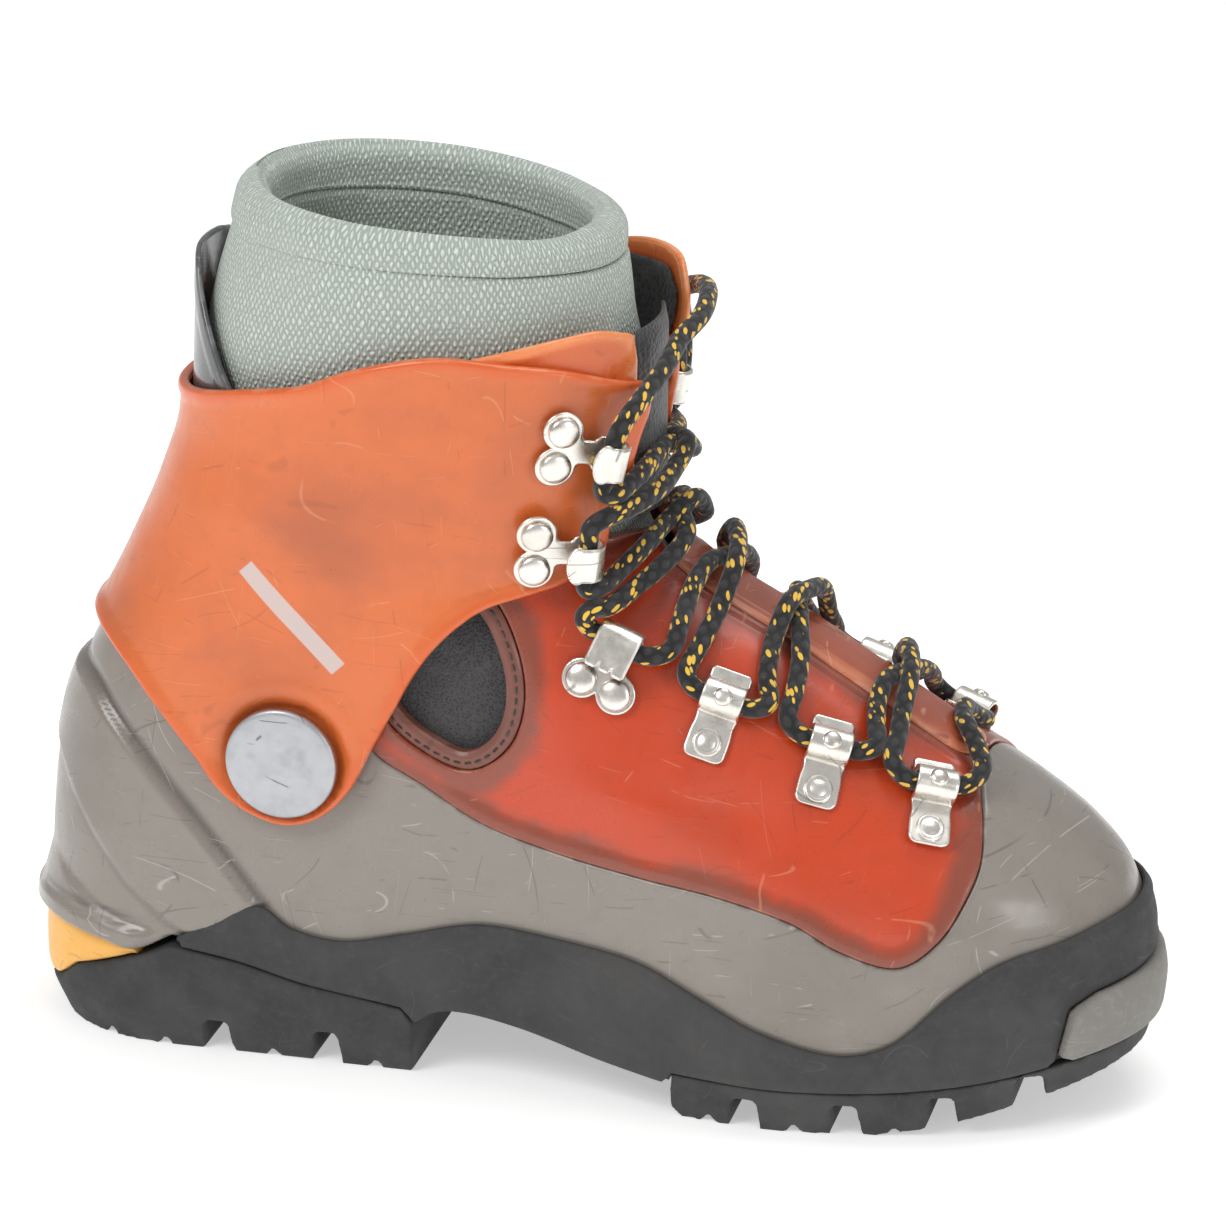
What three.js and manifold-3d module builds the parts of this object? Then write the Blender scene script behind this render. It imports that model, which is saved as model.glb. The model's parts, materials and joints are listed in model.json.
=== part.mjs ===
// One mountaineering boot: a plastic double boot with a hinged ankle cuff, a soft inner boot and laces.
// Millimetres. X runs from heel to toe, Z is up, and the outer (lateral) side of the foot is at -Y.
// Outlines are drawn in side view as [x, z] points, with x = 0 at the back of the heel ledge.
import * as THREE from "three";
import { mergeVertices } from "three/addons/utils/BufferGeometryUtils.js";
import Module from "manifold-3d";

const wasm = await Module();
wasm.setup();

// ---- driving dimensions ----
const gap = 0.3; // clear space left between touching pieces
const shellWall = 3.2;
const cuffWall = 3.4;
const cuffClearance = 2.6; // between the cuff and the shell that it turns over
const wingWall = 1.8;
const linerWall = 8;
const collarWall = 11;
const randProud = 2.2; // how far the rubber rand stands out from the shell
const ledgeProud = 6; // how far the crampon ledge stands out at the heel
const footHalfWidth = 54; // across the ball of the foot, one side
const heelHalfWidth = 38;
const shaftHalfWidth = 47; // across the top of the shaft, one side
const shaftTop = 247; // height of the collar's rim at the back
const collarHeight = 14; // of the padded roll round the rim
const pivotX = 86;
const pivotZ = 92;
const pivotPinRadius = 5;
const pivotCapRadius = 15.8;
const pivotCapThickness = 2.6;
const pivotStand = 0.172; // how far the pivot's seat stands out from the shell
const lugDepth = 9;
const lugGap = 6.5; // between the sole's side lugs
const notchWidth = 3; // of the small cuts in the sole's edge
const rivetRadius = 4.3;
const laceRadius = 2.75;
const plateThickness = 1.2; // of the hooks' and clips' sheet metal
const rivetShank = 1.6; // radius
const clipWidth = 11.5;
const clipHalfLength = 13;
const throatHalfWidth = 9; // of the slot over the instep
const stripHalfWidth = 11; // of the strip that covers the slot
const gussetHalfWidth = 20; // of the cloth under the slot
const upperTongueHalfWidth = 15; // between the cuff's front flaps
const linerTongueHalfWidth = 24;
const trimWidth = 5; // of the band round the ankle window
const padThickness = 1.7;
const trimProud = 0.4;
const footbedThickness = 4;
const linerSole = 6;
const bushWiden = 5; // how much wider the bush is than the pin
const sideReach = 90; // half length of the side-view cutters, past the widest piece

// ---- mesh and solid helpers ----
function solidOf(geometry) {
  const bare = geometry.clone();
  bare.deleteAttribute("normal");
  bare.deleteAttribute("uv");
  const merged = mergeVertices(bare, 1e-4);
  return new wasm.Manifold(
    new wasm.Mesh({
      numProp: 3,
      vertProperties: merged.attributes.position.array,
      triVerts: merged.index.array,
    }),
  );
}

function geometryOf(solid) {
  const made = solid.getMesh();
  const count = made.vertProperties.length / made.numProp;
  const points = new Float32Array(count * 3);
  for (let i = 0; i < count; i++)
    points.set(made.vertProperties.subarray(i * made.numProp, i * made.numProp + 3), i * 3);
  const geometry = new THREE.BufferGeometry();
  geometry.setAttribute("position", new THREE.BufferAttribute(points, 3));
  geometry.setIndex(new THREE.BufferAttribute(new Uint32Array(made.triVerts), 1));
  geometry.computeVertexNormals();
  return geometry;
}

function union(solids) {
  return solids.reduce((sum, next) => sum.add(next));
}

function box(x0, x1, y0, y1, z0, z1) {
  const geometry = new THREE.BoxGeometry(x1 - x0, y1 - y0, z1 - z0);
  geometry.translate((x0 + x1) / 2, (y0 + y1) / 2, (z0 + z1) / 2);
  return solidOf(geometry);
}

// A curve through [at, value] points that never overshoots, level beyond both ends.
function smooth(points) {
  const last = points.length - 1;
  const slope = [];
  for (let i = 0; i < last; i++)
    slope.push((points[i + 1][1] - points[i][1]) / (points[i + 1][0] - points[i][0]));
  const tangent = [slope[0]];
  for (let i = 1; i < last; i++) {
    const product = slope[i - 1] * slope[i];
    tangent.push(product <= 0 ? 0 : (2 * product) / (slope[i - 1] + slope[i]));
  }
  tangent.push(slope[last - 1]);
  return (at) => {
    if (at <= points[0][0]) return points[0][1];
    if (at >= points[last][0]) return points[last][1];
    let i = 0;
    while (at >= points[i + 1][0]) i++;
    const span = points[i + 1][0] - points[i][0];
    const t = (at - points[i][0]) / span;
    return (
      points[i][1] * (1 + 2 * t) * (1 - t) ** 2 +
      tangent[i] * span * t * (1 - t) ** 2 +
      points[i + 1][1] * t * t * (3 - 2 * t) +
      tangent[i + 1] * span * t * t * (t - 1)
    );
  };
}

// ---- the boot's surface: one level outline for each height ----
const rearX = smooth([
  [0, 5], [20, 4], [45, 6], [70, 8], [92, 12], [108, 18], [140, 35], [163, 46], [182, 52], [212, 54],
  [250, 57],
]);
const frontX = smooth([
  [0, 312], [20, 318], [48, 319], [64, 314], [74, 306], [86, 290], [99, 268], [125, 226], [147, 190],
  [158, 183], [175, 180], [205, 180], [250, 178],
]);
const rearRound = smooth([[60, 44], [110, 50], [150, 60], [190, 66], [250, 64]]);
const frontRound = smooth([
  [60, 105], [80, 118], [105, 130], [140, 130], [158, 100], [175, 76], [200, 66], [250, 62],
]);
const footWidth = smooth([
  [0, heelHalfWidth], [45, heelHalfWidth + 1], [110, heelHalfWidth + 2],
  [160, footHalfWidth - 10], [230, footHalfWidth], [270, footHalfWidth], [330, footHalfWidth - 4],
]);
const lean = smooth([[45, 1], [80, 0.97], [110, 0.93], [150, 0.9]]);
const shaftWidth = smooth([
  [100, shaftHalfWidth - 6], [140, shaftHalfWidth - 5], [180, shaftHalfWidth - 3],
  [212, shaftHalfWidth - 1], [250, shaftHalfWidth],
]);
const shaftShare = smooth([[90, 0], [160, 1]]); // 0 in the foot, 1 in the shaft
const waistNarrowing = smooth([[90, 0], [165, 3.5], [235, 0]]); // on the inner side of the foot
const innerToeRound = 0.86; // the inner side runs straighter to the big toe
const capPower = 2.2;

function cap(t) {
  if (t >= 1) return 1;
  if (t <= 0) return 0;
  return (1 - (1 - t) ** capPower) ** (1 / capPower);
}

function halfWidth(x, z, inner) {
  const share = shaftShare(z);
  const foot = (footWidth(x) - (inner ? waistNarrowing(x) : 0)) * lean(z);
  const width = (1 - share) * foot + share * shaftWidth(z);
  const front = frontRound(z) * (inner ? innerToeRound + (1 - innerToeRound) * share : 1);
  return width * cap((x - rearX(z)) / rearRound(z)) * cap((frontX(z) - x) / front);
}

// A point of the surface: turn goes once round the outline from the heel, over the outer side first.
function surfacePoint(turn, z) {
  const rear = rearX(z);
  const x = rear + ((frontX(z) - rear) * (1 - Math.cos(turn))) / 2;
  const inner = turn > Math.PI;
  return new THREE.Vector3(x, (inner ? 1 : -1) * halfWidth(x, z, inner), z);
}

function surfaceNormal(turn, z) {
  const step = 0.02;
  const rise = 0.5;
  const before = turn < step ? turn - step + 2 * Math.PI : turn - step;
  const along = surfacePoint(turn + step, z).sub(surfacePoint(before, z));
  const up = surfacePoint(turn, z + rise).sub(surfacePoint(turn, z - rise));
  return along.cross(up).normalize();
}

// The heights and the number of points round each level that solids are built from.
const levels = [-8, 14, 36, 52, 64, 75, 87, 102, 120, 140, 158, 178, 202, 228, 262];
const around = 28;

// The solid inside the surface moved out by offset, a number or a function of the height.
const lasts = new Map();
function last(offset) {
  if (lasts.has(offset)) return lasts.get(offset);
  const points = [];
  for (const z of levels)
    for (let i = 0; i < around; i++) {
      const turn = (2 * Math.PI * i) / around;
      const out = typeof offset === "number" ? offset : offset(z);
      const normal = surfaceNormal(turn, z);
      const end = z === levels[0] || z === levels[levels.length - 1];
      if (end) normal.setZ(0).normalize();
      points.push(surfacePoint(turn, z).addScaledVector(normal, out));
    }
  const index = [];
  for (let k = 0; k < levels.length - 1; k++)
    for (let i = 0; i < around; i++) {
      const j = (i + 1) % around;
      const a = k * around + i;
      const b = k * around + j;
      index.push(a, b, b + around, a, b + around, a + around);
    }
  for (const [ring, flip] of [[0, true], [(levels.length - 1) * around, false]]) {
    const middle = new THREE.Vector3();
    for (let i = 0; i < around; i++) middle.addScaledVector(points[ring + i], 1 / around);
    points.push(middle);
    for (let i = 0; i < around; i++) {
      const a = ring + i;
      const b = ring + ((i + 1) % around);
      if (flip) index.push(points.length - 1, b, a);
      else index.push(points.length - 1, a, b);
    }
  }
  const geometry = new THREE.BufferGeometry().setFromPoints(points);
  geometry.setIndex(index);
  const solid = solidOf(geometry);
  lasts.set(offset, solid);
  return solid;
}

function skin(outside, inside) {
  return last(outside).subtract(last(inside));
}

// ---- side-view cutters ----
// A path is a list of [x, z] corners and of curves, each {through: [[x, z], ...]}.
function outline(path) {
  const shape = new THREE.Shape();
  let started = false;
  for (const part of path) {
    const points = (part.through || [part]).map(([x, z]) => new THREE.Vector2(x, z));
    if (!started) shape.moveTo(points[0].x, points[0].y);
    else shape.lineTo(points[0].x, points[0].y);
    started = true;
    if (points.length > 1) shape.splineThru(points.slice(1));
  }
  return shape;
}

function sideCut(path, y0 = -sideReach, y1 = sideReach, fineness = 2) {
  const shape = path instanceof THREE.Shape ? path : outline(path);
  const geometry = new THREE.ExtrudeGeometry(shape, {
    depth: y1 - y0,
    bevelEnabled: false,
    curveSegments: fineness,
  });
  geometry.rotateX(Math.PI / 2);
  geometry.translate(0, y1, 0);
  return solidOf(geometry);
}

// The path's points moved outwards by grow, for the gap round a cut-in piece.
function grown(points, grow) {
  const area = points.reduce((sum, [x, z], i) => {
    const [nextX, nextZ] = points[(i + 1) % points.length];
    return sum + x * nextZ - nextX * z;
  }, 0);
  const turn = Math.sign(area);
  return points.map(([x, z], i) => {
    const before = points[(i + points.length - 1) % points.length];
    const after = points[(i + 1) % points.length];
    const along = new THREE.Vector2(after[0] - before[0], after[1] - before[1]).normalize();
    return [x + along.y * turn * grow, z - along.x * turn * grow];
  });
}

// ---- pieces ----
const boot = new THREE.Group();

function addPiece(name, solid, colour, roughness, metalness = 0) {
  const material = new THREE.MeshStandardMaterial({ color: colour, roughness, metalness });
  const mesh = new THREE.Mesh(geometryOf(solid), material);
  mesh.name = name;
  boot.add(mesh);
}

const rubberBlack = 0x3a3a3b;
const shellGrey = 0x8b857e;
const cuffOrange = 0xe2703a;
const upperRed = 0xc9502c;
const trimBrown = 0x7a4a33;
const heelYellow = 0xf0af46;
const linerGreen = 0xa7b5aa;
const clothBlack = 0x26272a;
const steel = 0xb9b6ae;
const capSilver = 0xb0b5ba;

// Lines shared by neighbours, from the back forwards.
const treadLine = [[-12, 9.5], [2, 9.5], [12, 13], [20, 20], [31, 24.5], [41, 28.5], [51, 32.6]];
const grooveLine = [[51, 32.6], [71, 29.5], [89, 25], [118, 21]];
const archLine = [[122, 17], [128, 21], [136, 22], [152, 20], [175, 14.5], [196, 11]];
const foreLine = [[197, 14.5], [229, 14], [255, 15], [276, 17], [299, 20.5], [322, 25]];
const ledgeBottom = [[-12, 28], [0, 28.5], [10, 33], [20, 33], [31, 32], [41, 30.5]];
const baseLine = [
  [51, 34.5], [80, 31], [118, 28], [160, 24], [200, 21], [260, 20], [300, 24], [330, 33],
];
const randTop = [
  [51, 34.2], [77, 47], [86, 41.5], [100, 39], [118, 43], [141, 49], [164, 48], [188, 45], [205, 38],
  [222, 30.5], [244, 25.5], [257, 29], [273, 44], [285, 52], [300, 56], [311, 59], [330, 61],
];
const seamLine = [
  [64, 134], [84, 122], [98, 109], [111, 94], [124, 87], [141, 78], [164, 72], [187, 69], [210, 67],
  [230, 62], [243, 55], [259, 51], [269, 58], [275, 68], [278, 77], [277, 86], [274, 94], [271, 104],
];
const windowEdge = [
  [128, 143], [139, 138], [146, 126], [148, 114], [145, 104],
  [137, 98], [127, 101], [118, 108], [113, 120], [118, 136],
];
const cuffBottom = [
  [8, 117], [20, 119], [28, 119], [40, 113], [50, 103], [59, 92], [67, 82], [75, 76], [86, 73], [96, 76],
  [105, 85], [111, 97], [118, 110], [124, 121], [131, 130], [141, 138], [152, 142], [162, 146], [168, 151],
];
const cuffTop = [
  [177, 200], [163, 207], [149, 210], [131, 212], [109, 207], [95, 201], [79, 197], [55, 190], [30, 186],
];

// Gaps between lugs, cut in from both sides as far as reach from the middle plane.
function lugCuts(places, depth, reach) {
  return places.map((x) => {
    const left = box(x - lugGap / 2, x + lugGap / 2, -sideReach, -reach, -5, depth);
    return left.add(box(x - lugGap / 2, x + lugGap / 2, reach, sideReach, -5, depth));
  });
}

function notches(places) {
  return places.map((x) => {
    const cutter = solidOf(new THREE.BoxGeometry(notchWidth, 2 * sideReach, notchWidth));
    return cutter.rotate([0, 45, 0]).translate([x, 0, -gap]);
  });
}

const treadOffset = smooth([[0, -3], [12, 1], [24, 2.5]]);
const wedgeOffset = 4;
const ledgeOffset = smooth([[36, ledgeProud], [44, 2.5], [56, 0.1]]);
const padInside = -shellWall - gap - padThickness;
const linerDeep = padInside - 0.7; // the liner's outside where pads and cloth lie between it and the shell
const linerShell = -shellWall - gap; // and where only the shell is outside it
const linerOutside = smooth([
  [158, linerDeep], [174, linerShell], [182, linerShell + 0.2], [205, -2.1], [222, -2.1], [234, 0],
]);
const linerInside = smooth([
  [158, linerDeep - linerWall], [174, linerShell - linerWall], [205, -2.1 - linerWall], [234, -linerWall],
]);

function raised(points, rise) {
  return points.map(([x, z]) => [x, z + rise]);
}

function reversed(points) {
  return [...points].reverse();
}

function heelTread() {
  const top = [...raised(treadLine, -gap), ...raised(grooveLine.slice(1), -gap)];
  const side = [...top, [121, 16], [120, 0], [10, 0], [1, 6], [-12, 6]];
  const block = last(treadOffset).intersect(sideCut(side));
  return block.subtract(union([...lugCuts([63, 95], lugDepth, 14), ...notches([47, 79, 109])]));
}

const toeSpring = [[254, 0], [266, 2], [279, 5.5], [292, 9.5], [306, 13.5], [322, 18.5], [340, 24]];

// Where the forefoot's lug gaps are, and how much higher each goes as the toe rises.
const foreGaps = [[217.5, 0], [245, 0], [270.5, 3], [293, 8]];

function forefootTread() {
  const back = [[199, 0], [196, 3], [197, 14.2]];
  const side = [...back, ...raised(foreLine.slice(1), -gap), [340, 27], ...reversed(toeSpring)];
  const block = last(treadOffset).intersect(sideCut(side));
  const cuts = foreGaps.map(([x, rise]) => lugCuts([x], lugDepth + rise, 16)[0]);
  return block.subtract(union([...cuts, ...notches([207, 231, 258])]));
}

const weltRegion = [[299, 21.8], [322, 26], [345, 29], [345, 43], [318, 42], [308, 40], [302, 36.5]];

// The rand's skirt outside the shell, in one piece with the midsole under it.
function midsoleRand() {
  const low = [...grooveLine, [121.3, 17], ...archLine.slice(1), ...foreLine, [345, 28]];
  const skirt = skin(randProud, gap).intersect(sideCut([...low, [345, 62], ...reversed(randTop)]));
  const base = reversed(raised(baseLine, -gap));
  const core = last(randProud).intersect(sideCut([...low, [345, 38], ...base]));
  return skirt.add(core).subtract(sideCut(grown(weltRegion, gap)));
}

const weltOffset = smooth([[20, 4.5], [34, 5.5], [43, 4]]);

function toeWelt() {
  return skin(weltOffset, gap + 0.1).intersect(sideCut(weltRegion));
}

function heelWedge() {
  const top = raised(ledgeBottom, -gap);
  const bottom = raised(treadLine.slice(0, -1), gap);
  return last(wedgeOffset).intersect(sideCut([...bottom, ...reversed(top)]));
}

const heelFloor = [...ledgeBottom, [51, 34.8]];
const floorTop = [
  [-12, 38.5], [51, 38.5], [80, 34.5], [118, 31.5], [160, 27.5], [200, 24.5], [260, 23.5], [300, 27.5],
  [345, 38],
];

function lowerShell() {
  const bottom = [...heelFloor, ...baseLine.slice(1), [345, 37]];
  const walls = skin(0, -shellWall).intersect(
    sideCut([...bottom, [345, 112], [271, 112], ...reversed(seamLine), [-12, 134]]),
  );
  const floor = last(0).intersect(sideCut([...bottom, ...reversed(floorTop)]));
  const ledge = skin(ledgeOffset, -1).intersect(
    sideCut([...heelFloor, [42, 36.5], [31, 41], [20, 48], [8, 57], [-12, 58]]),
  );
  return union([walls, floor, ledge]);
}

const wingFront = [[128, 168], [150, 163], [175, 163], [176.5, 180], [177, 205]];
const outerWingTop = [[176.5, 213], [162, 215], [141, 211]];
const innerWingTop = [[176.5, 219], [173, 224], [162, 224], [141, 214]];

// The upper's top edge, low enough at the back to stay under the cuff as it leans forward.
const upperTop = [[271, 125], [215, 165], [186, 157], [106, 157], [85, 147], [66, 136]];
const trimEdge = grown(windowEdge, trimWidth);

function instepUpper() {
  const walls = skin(0, -shellWall).intersect(sideCut(grown([...seamLine, ...upperTop], -gap)));
  const throat = box(160, 268, -throatHalfWidth, throatHalfWidth, 80, 190);
  const windows = sideCut(grown(trimEdge, gap));
  const behind = box(-12, seamLine[0][0], -sideReach, sideReach, 100, 200);
  return walls.subtract(union([throat, windows, behind]));
}

function windowTrim(y0, y1) {
  const ring = sideCut(trimEdge, y0, y1).subtract(sideCut(windowEdge));
  return skin(trimProud, -shellWall).intersect(ring);
}

function anklePad(y0, y1) {
  return skin(-shellWall - gap, padInside).intersect(sideCut(grown(windowEdge, trimWidth - 2), y0, y1));
}

// A block seen from above: square at the ankle end, with rounded corners at the toe end.
function plan(x0, x1, halfAcross, z0, z1, round) {
  const shape = new THREE.Shape();
  shape.moveTo(x0, -halfAcross);
  shape.lineTo(x1 - round, -halfAcross);
  shape.quadraticCurveTo(x1, -halfAcross, x1, -halfAcross + round);
  shape.lineTo(x1, halfAcross - round);
  shape.quadraticCurveTo(x1, halfAcross, x1 - round, halfAcross);
  shape.lineTo(x0, halfAcross);
  const geometry = new THREE.ExtrudeGeometry(shape, {
    depth: z1 - z0,
    bevelEnabled: false,
    curveSegments: 4,
  });
  geometry.translate(0, 0, z0);
  return solidOf(geometry);
}

function shellTongue() {
  return skin(3.6, 0.6).intersect(plan(187, 277, stripHalfWidth, 90, 170, 8));
}

function tongueGusset() {
  return skin(-shellWall - gap, padInside).intersect(plan(188, 278, gussetHalfWidth, 80, 150, 10));
}

// It stops at the cuff's front flaps, which stand in front of the same surface.
function tongueUpper() {
  const strip = skin(2.1, gap).intersect(
    box(150, 200, -upperTongueHalfWidth, upperTongueHalfWidth, 161, 213),
  );
  return strip.subtract(sideCut(grown([...wingFront, ...innerWingTop, [128, 205]], gap)));
}

const cuffFront = [[170, 153], [171, 163], [174, 174], [176, 184], [178, 194]];

function cuff() {
  const side = [...cuffBottom, ...cuffFront, ...cuffTop, [8, 186]];
  return skin(cuffClearance + cuffWall, cuffClearance).intersect(sideCut(side));
}

const wingOffset = 0.4; // the wings' inside, just clear of the liner

function cuffWing(top, y0, y1) {
  const side = [...wingFront, ...top, [128, 205]];
  return skin(wingOffset + wingWall, wingOffset).intersect(sideCut(side, y0, y1));
}

function flapLining() {
  const side = [[160, 190], [175.5, 190], [175.5, 217], [160, 219]];
  return skin(wingOffset - gap, wingOffset - gap - 1.6).intersect(sideCut(side, 5, sideReach));
}

function rearSpoiler() {
  const side = [[30, 160], [76, 166], [76, 186], [68, 200], [60, 218], [56, 227], [30, 229]];
  return skin(2.1, 0.4).intersect(sideCut(side));
}

function linerPart(side, outside = linerOutside, inside = linerInside) {
  return skin(outside, inside).intersect(sideCut(side));
}

const ankleLow = [[-12, 126], [130, 140], [230, 150]];
const ankleHigh = [[-12, 150], [130, 168], [230, 182]];

function linerFoot() {
  const bottom = raised(floorTop, gap);
  const inside = raised(floorTop, gap + linerSole);
  const low = sideCut([...bottom, [345, 150], ...reversed(raised(ankleLow, -gap))]);
  const hollow = sideCut([...inside, [345, 160], [-12, 160]]);
  return last(linerOutside).intersect(low).subtract(last(linerInside).intersect(hollow));
}

function footbed() {
  const bottom = raised(floorTop, gap + linerSole + gap);
  const top = raised(bottom, footbedThickness);
  return last((z) => linerInside(z) - 2 * gap).intersect(sideCut([...bottom, ...reversed(top)]));
}

const rimBase = shaftTop - collarHeight;
const rimLow = [[-12, rimBase], [120, rimBase - 6], [230, rimBase - 5]];
const collarOffset = smooth([[226, -0.5], [236, 1.2], [247, -1]]);

function linerCollar() {
  const low = shaftTop - 5; // the rim dips a little at the ankle bones
  const top = [[-12, shaftTop], [60, shaftTop], [110, low], [150, low], [230, shaftTop - 1]];
  return linerPart([...rimLow, ...reversed(top)], collarOffset, 1 - collarWall);
}

function linerTongue() {
  const body = skin((z) => linerInside(z) - 0.5, (z) => linerInside(z) - 6);
  return body.intersect(box(140, 200, -linerTongueHalfWidth, linerTongueHalfWidth, 176, 219));
}

// ---- hardware: built flat, with u forwards, v up and n out from the surface, then seated on the boot ----
function seat(x, z, side, height, tiltDegrees = 0) {
  const rear = rearX(z);
  const turn = Math.acos(1 - (2 * (x - rear)) / (frontX(z) - rear));
  const at = side < 0 ? turn : 2 * Math.PI - turn;
  const normal = surfaceNormal(at, z);
  const up = new THREE.Vector3(0, 0, 1).addScaledVector(normal, -normal.z).normalize();
  const forward = up.clone().cross(normal).multiplyScalar(-side);
  const tilt = THREE.MathUtils.degToRad(tiltDegrees);
  const u = forward.clone().multiplyScalar(Math.cos(tilt)).addScaledVector(up, Math.sin(tilt));
  const v = up.clone().multiplyScalar(Math.cos(tilt)).addScaledVector(forward, -Math.sin(tilt));
  const place = surfacePoint(at, z).addScaledVector(normal, height);
  return new THREE.Matrix4().makeBasis(u, v, normal).setPosition(place);
}

function seated(solid, matrix) {
  return solid.transform(matrix.elements);
}

function disc(radius, n0, n1, u = 0, v = 0, sides = 12) {
  const geometry = new THREE.CylinderGeometry(radius, radius, n1 - n0, sides);
  geometry.rotateX(Math.PI / 2);
  geometry.translate(u, v, (n0 + n1) / 2);
  return solidOf(geometry);
}

const plateLow = gap;
const plateTop = gap + plateThickness;
const bendInside = laceRadius + 0.65; // radius of the metal's inside round the lace
const bendOutside = bendInside + plateThickness;
const hookReach = 13.5; // from the rivets to the middle of the bend
const rivetSpread = 5.1; // half the distance between a hook's two rivets
const lobeRadius = 5.4; // of the plate round each rivet
const rivetHole = rivetShank + gap;

// The hook points along +u, and its rivets stand one above the other.
function hook(halfWide, leafEnd) {
  const bendN = plateLow + bendOutside;
  const shape = new THREE.Shape();
  shape.moveTo(0, plateLow);
  shape.lineTo(hookReach, plateLow);
  shape.absarc(hookReach, bendN, bendOutside, -Math.PI / 2, Math.PI / 2, false);
  shape.lineTo(leafEnd, bendN + bendOutside);
  shape.lineTo(leafEnd, bendN + bendInside);
  shape.absarc(hookReach, bendN, bendInside, Math.PI / 2, -Math.PI / 2, true);
  shape.lineTo(0, plateTop);
  const strip = new THREE.ExtrudeGeometry(shape, {
    depth: 2 * halfWide,
    bevelEnabled: false,
    curveSegments: 5,
  });
  strip.rotateX(Math.PI / 2);
  strip.translate(0, halfWide, 0);
  const lobes = [-rivetSpread, rivetSpread].map((v) => disc(lobeRadius, plateLow, plateTop, 0, v));
  const holes = [-rivetSpread, rivetSpread].map((v) => disc(rivetHole, plateLow - 1, plateTop + 1, 0, v, 6));
  return union([solidOf(strip), ...lobes]).subtract(union(holes));
}

// A domed head on a shank that goes length down past the plate.
function rivet(v, length) {
  const profile = [
    [0, -length], [rivetShank, -length], [rivetShank, plateTop + gap], [rivetRadius, plateTop + gap],
    [rivetRadius * 0.86, plateTop + 1.6], [rivetRadius * 0.4, plateTop + 2.5], [0, plateTop + 2.7],
  ];
  const geometry = new THREE.LatheGeometry(profile.map(([r, n]) => new THREE.Vector2(r, n)), 8);
  geometry.rotateX(Math.PI / 2);
  geometry.translate(0, v, 0);
  return solidOf(geometry);
}

// The clip lies along v: a riveted strap below and an arch over the lace above.
const clipArch = 4.5; // from the clip's middle to the arch's centre
const archHeight = 3.6; // of the lace's centre inside the arch
const studPlace = -8; // of the rivet head on the strap
const studHeight = 1.4;

function laceClip() {
  const shape = new THREE.Shape();
  shape.moveTo(-clipHalfLength, plateLow);
  shape.lineTo(clipArch - bendInside, plateLow);
  shape.lineTo(clipArch - bendInside, archHeight);
  shape.absarc(clipArch, archHeight, bendInside, Math.PI, 0, true);
  shape.lineTo(clipArch + bendInside, plateLow);
  shape.lineTo(clipHalfLength, plateLow);
  shape.lineTo(clipHalfLength, plateTop);
  shape.lineTo(clipArch + bendOutside, plateTop);
  shape.lineTo(clipArch + bendOutside, archHeight);
  shape.absarc(clipArch, archHeight, bendOutside, 0, Math.PI, false);
  shape.lineTo(clipArch - bendOutside, plateTop);
  shape.lineTo(-clipHalfLength, plateTop);
  const strip = new THREE.ExtrudeGeometry(shape, {
    depth: clipWidth,
    bevelEnabled: false,
    curveSegments: 5,
  });
  const across = new THREE.Vector3(1, 0, 0);
  const along = new THREE.Vector3(0, 1, 0);
  const out = new THREE.Vector3(0, 0, 1);
  strip.translate(0, 0, -clipWidth / 2);
  strip.applyMatrix4(new THREE.Matrix4().makeBasis(along, out, across));
  const stud = new THREE.CylinderGeometry(rivetRadius - 1.2, rivetRadius, studHeight, 12);
  stud.rotateX(Math.PI / 2);
  stud.translate(0, studPlace, plateTop + studHeight / 2 - 0.05);
  return solidOf(strip).add(solidOf(stud));
}

const clipLift = 0.2;
const cuffHeight = cuffClearance + cuffWall;
const cuffHooks = [
  { name: "high", x: 159.5, z: 187, tilt: -12, lift: 0.2 },
  { name: "low", x: 153.5, z: 158.5, tilt: -4, lift: 2 },
];
const lockHook = { x: 173.5, z: 119.5, tilt: 66, lift: 1 };
const clips = [
  { name: "top", x: 205.5, z: 113 },
  { name: "middle", x: 234.5, z: 101.5 },
  { name: "toe", x: 263, z: 91 },
];
const clipTilt = -20;
const sides = [["outer", -1], ["inner", 1]];

function rivetHoles(matrix) {
  return union([-rivetSpread, rivetSpread].map((v) => seated(disc(rivetHole, -5, 2, 0, v, 6), matrix)));
}

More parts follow.
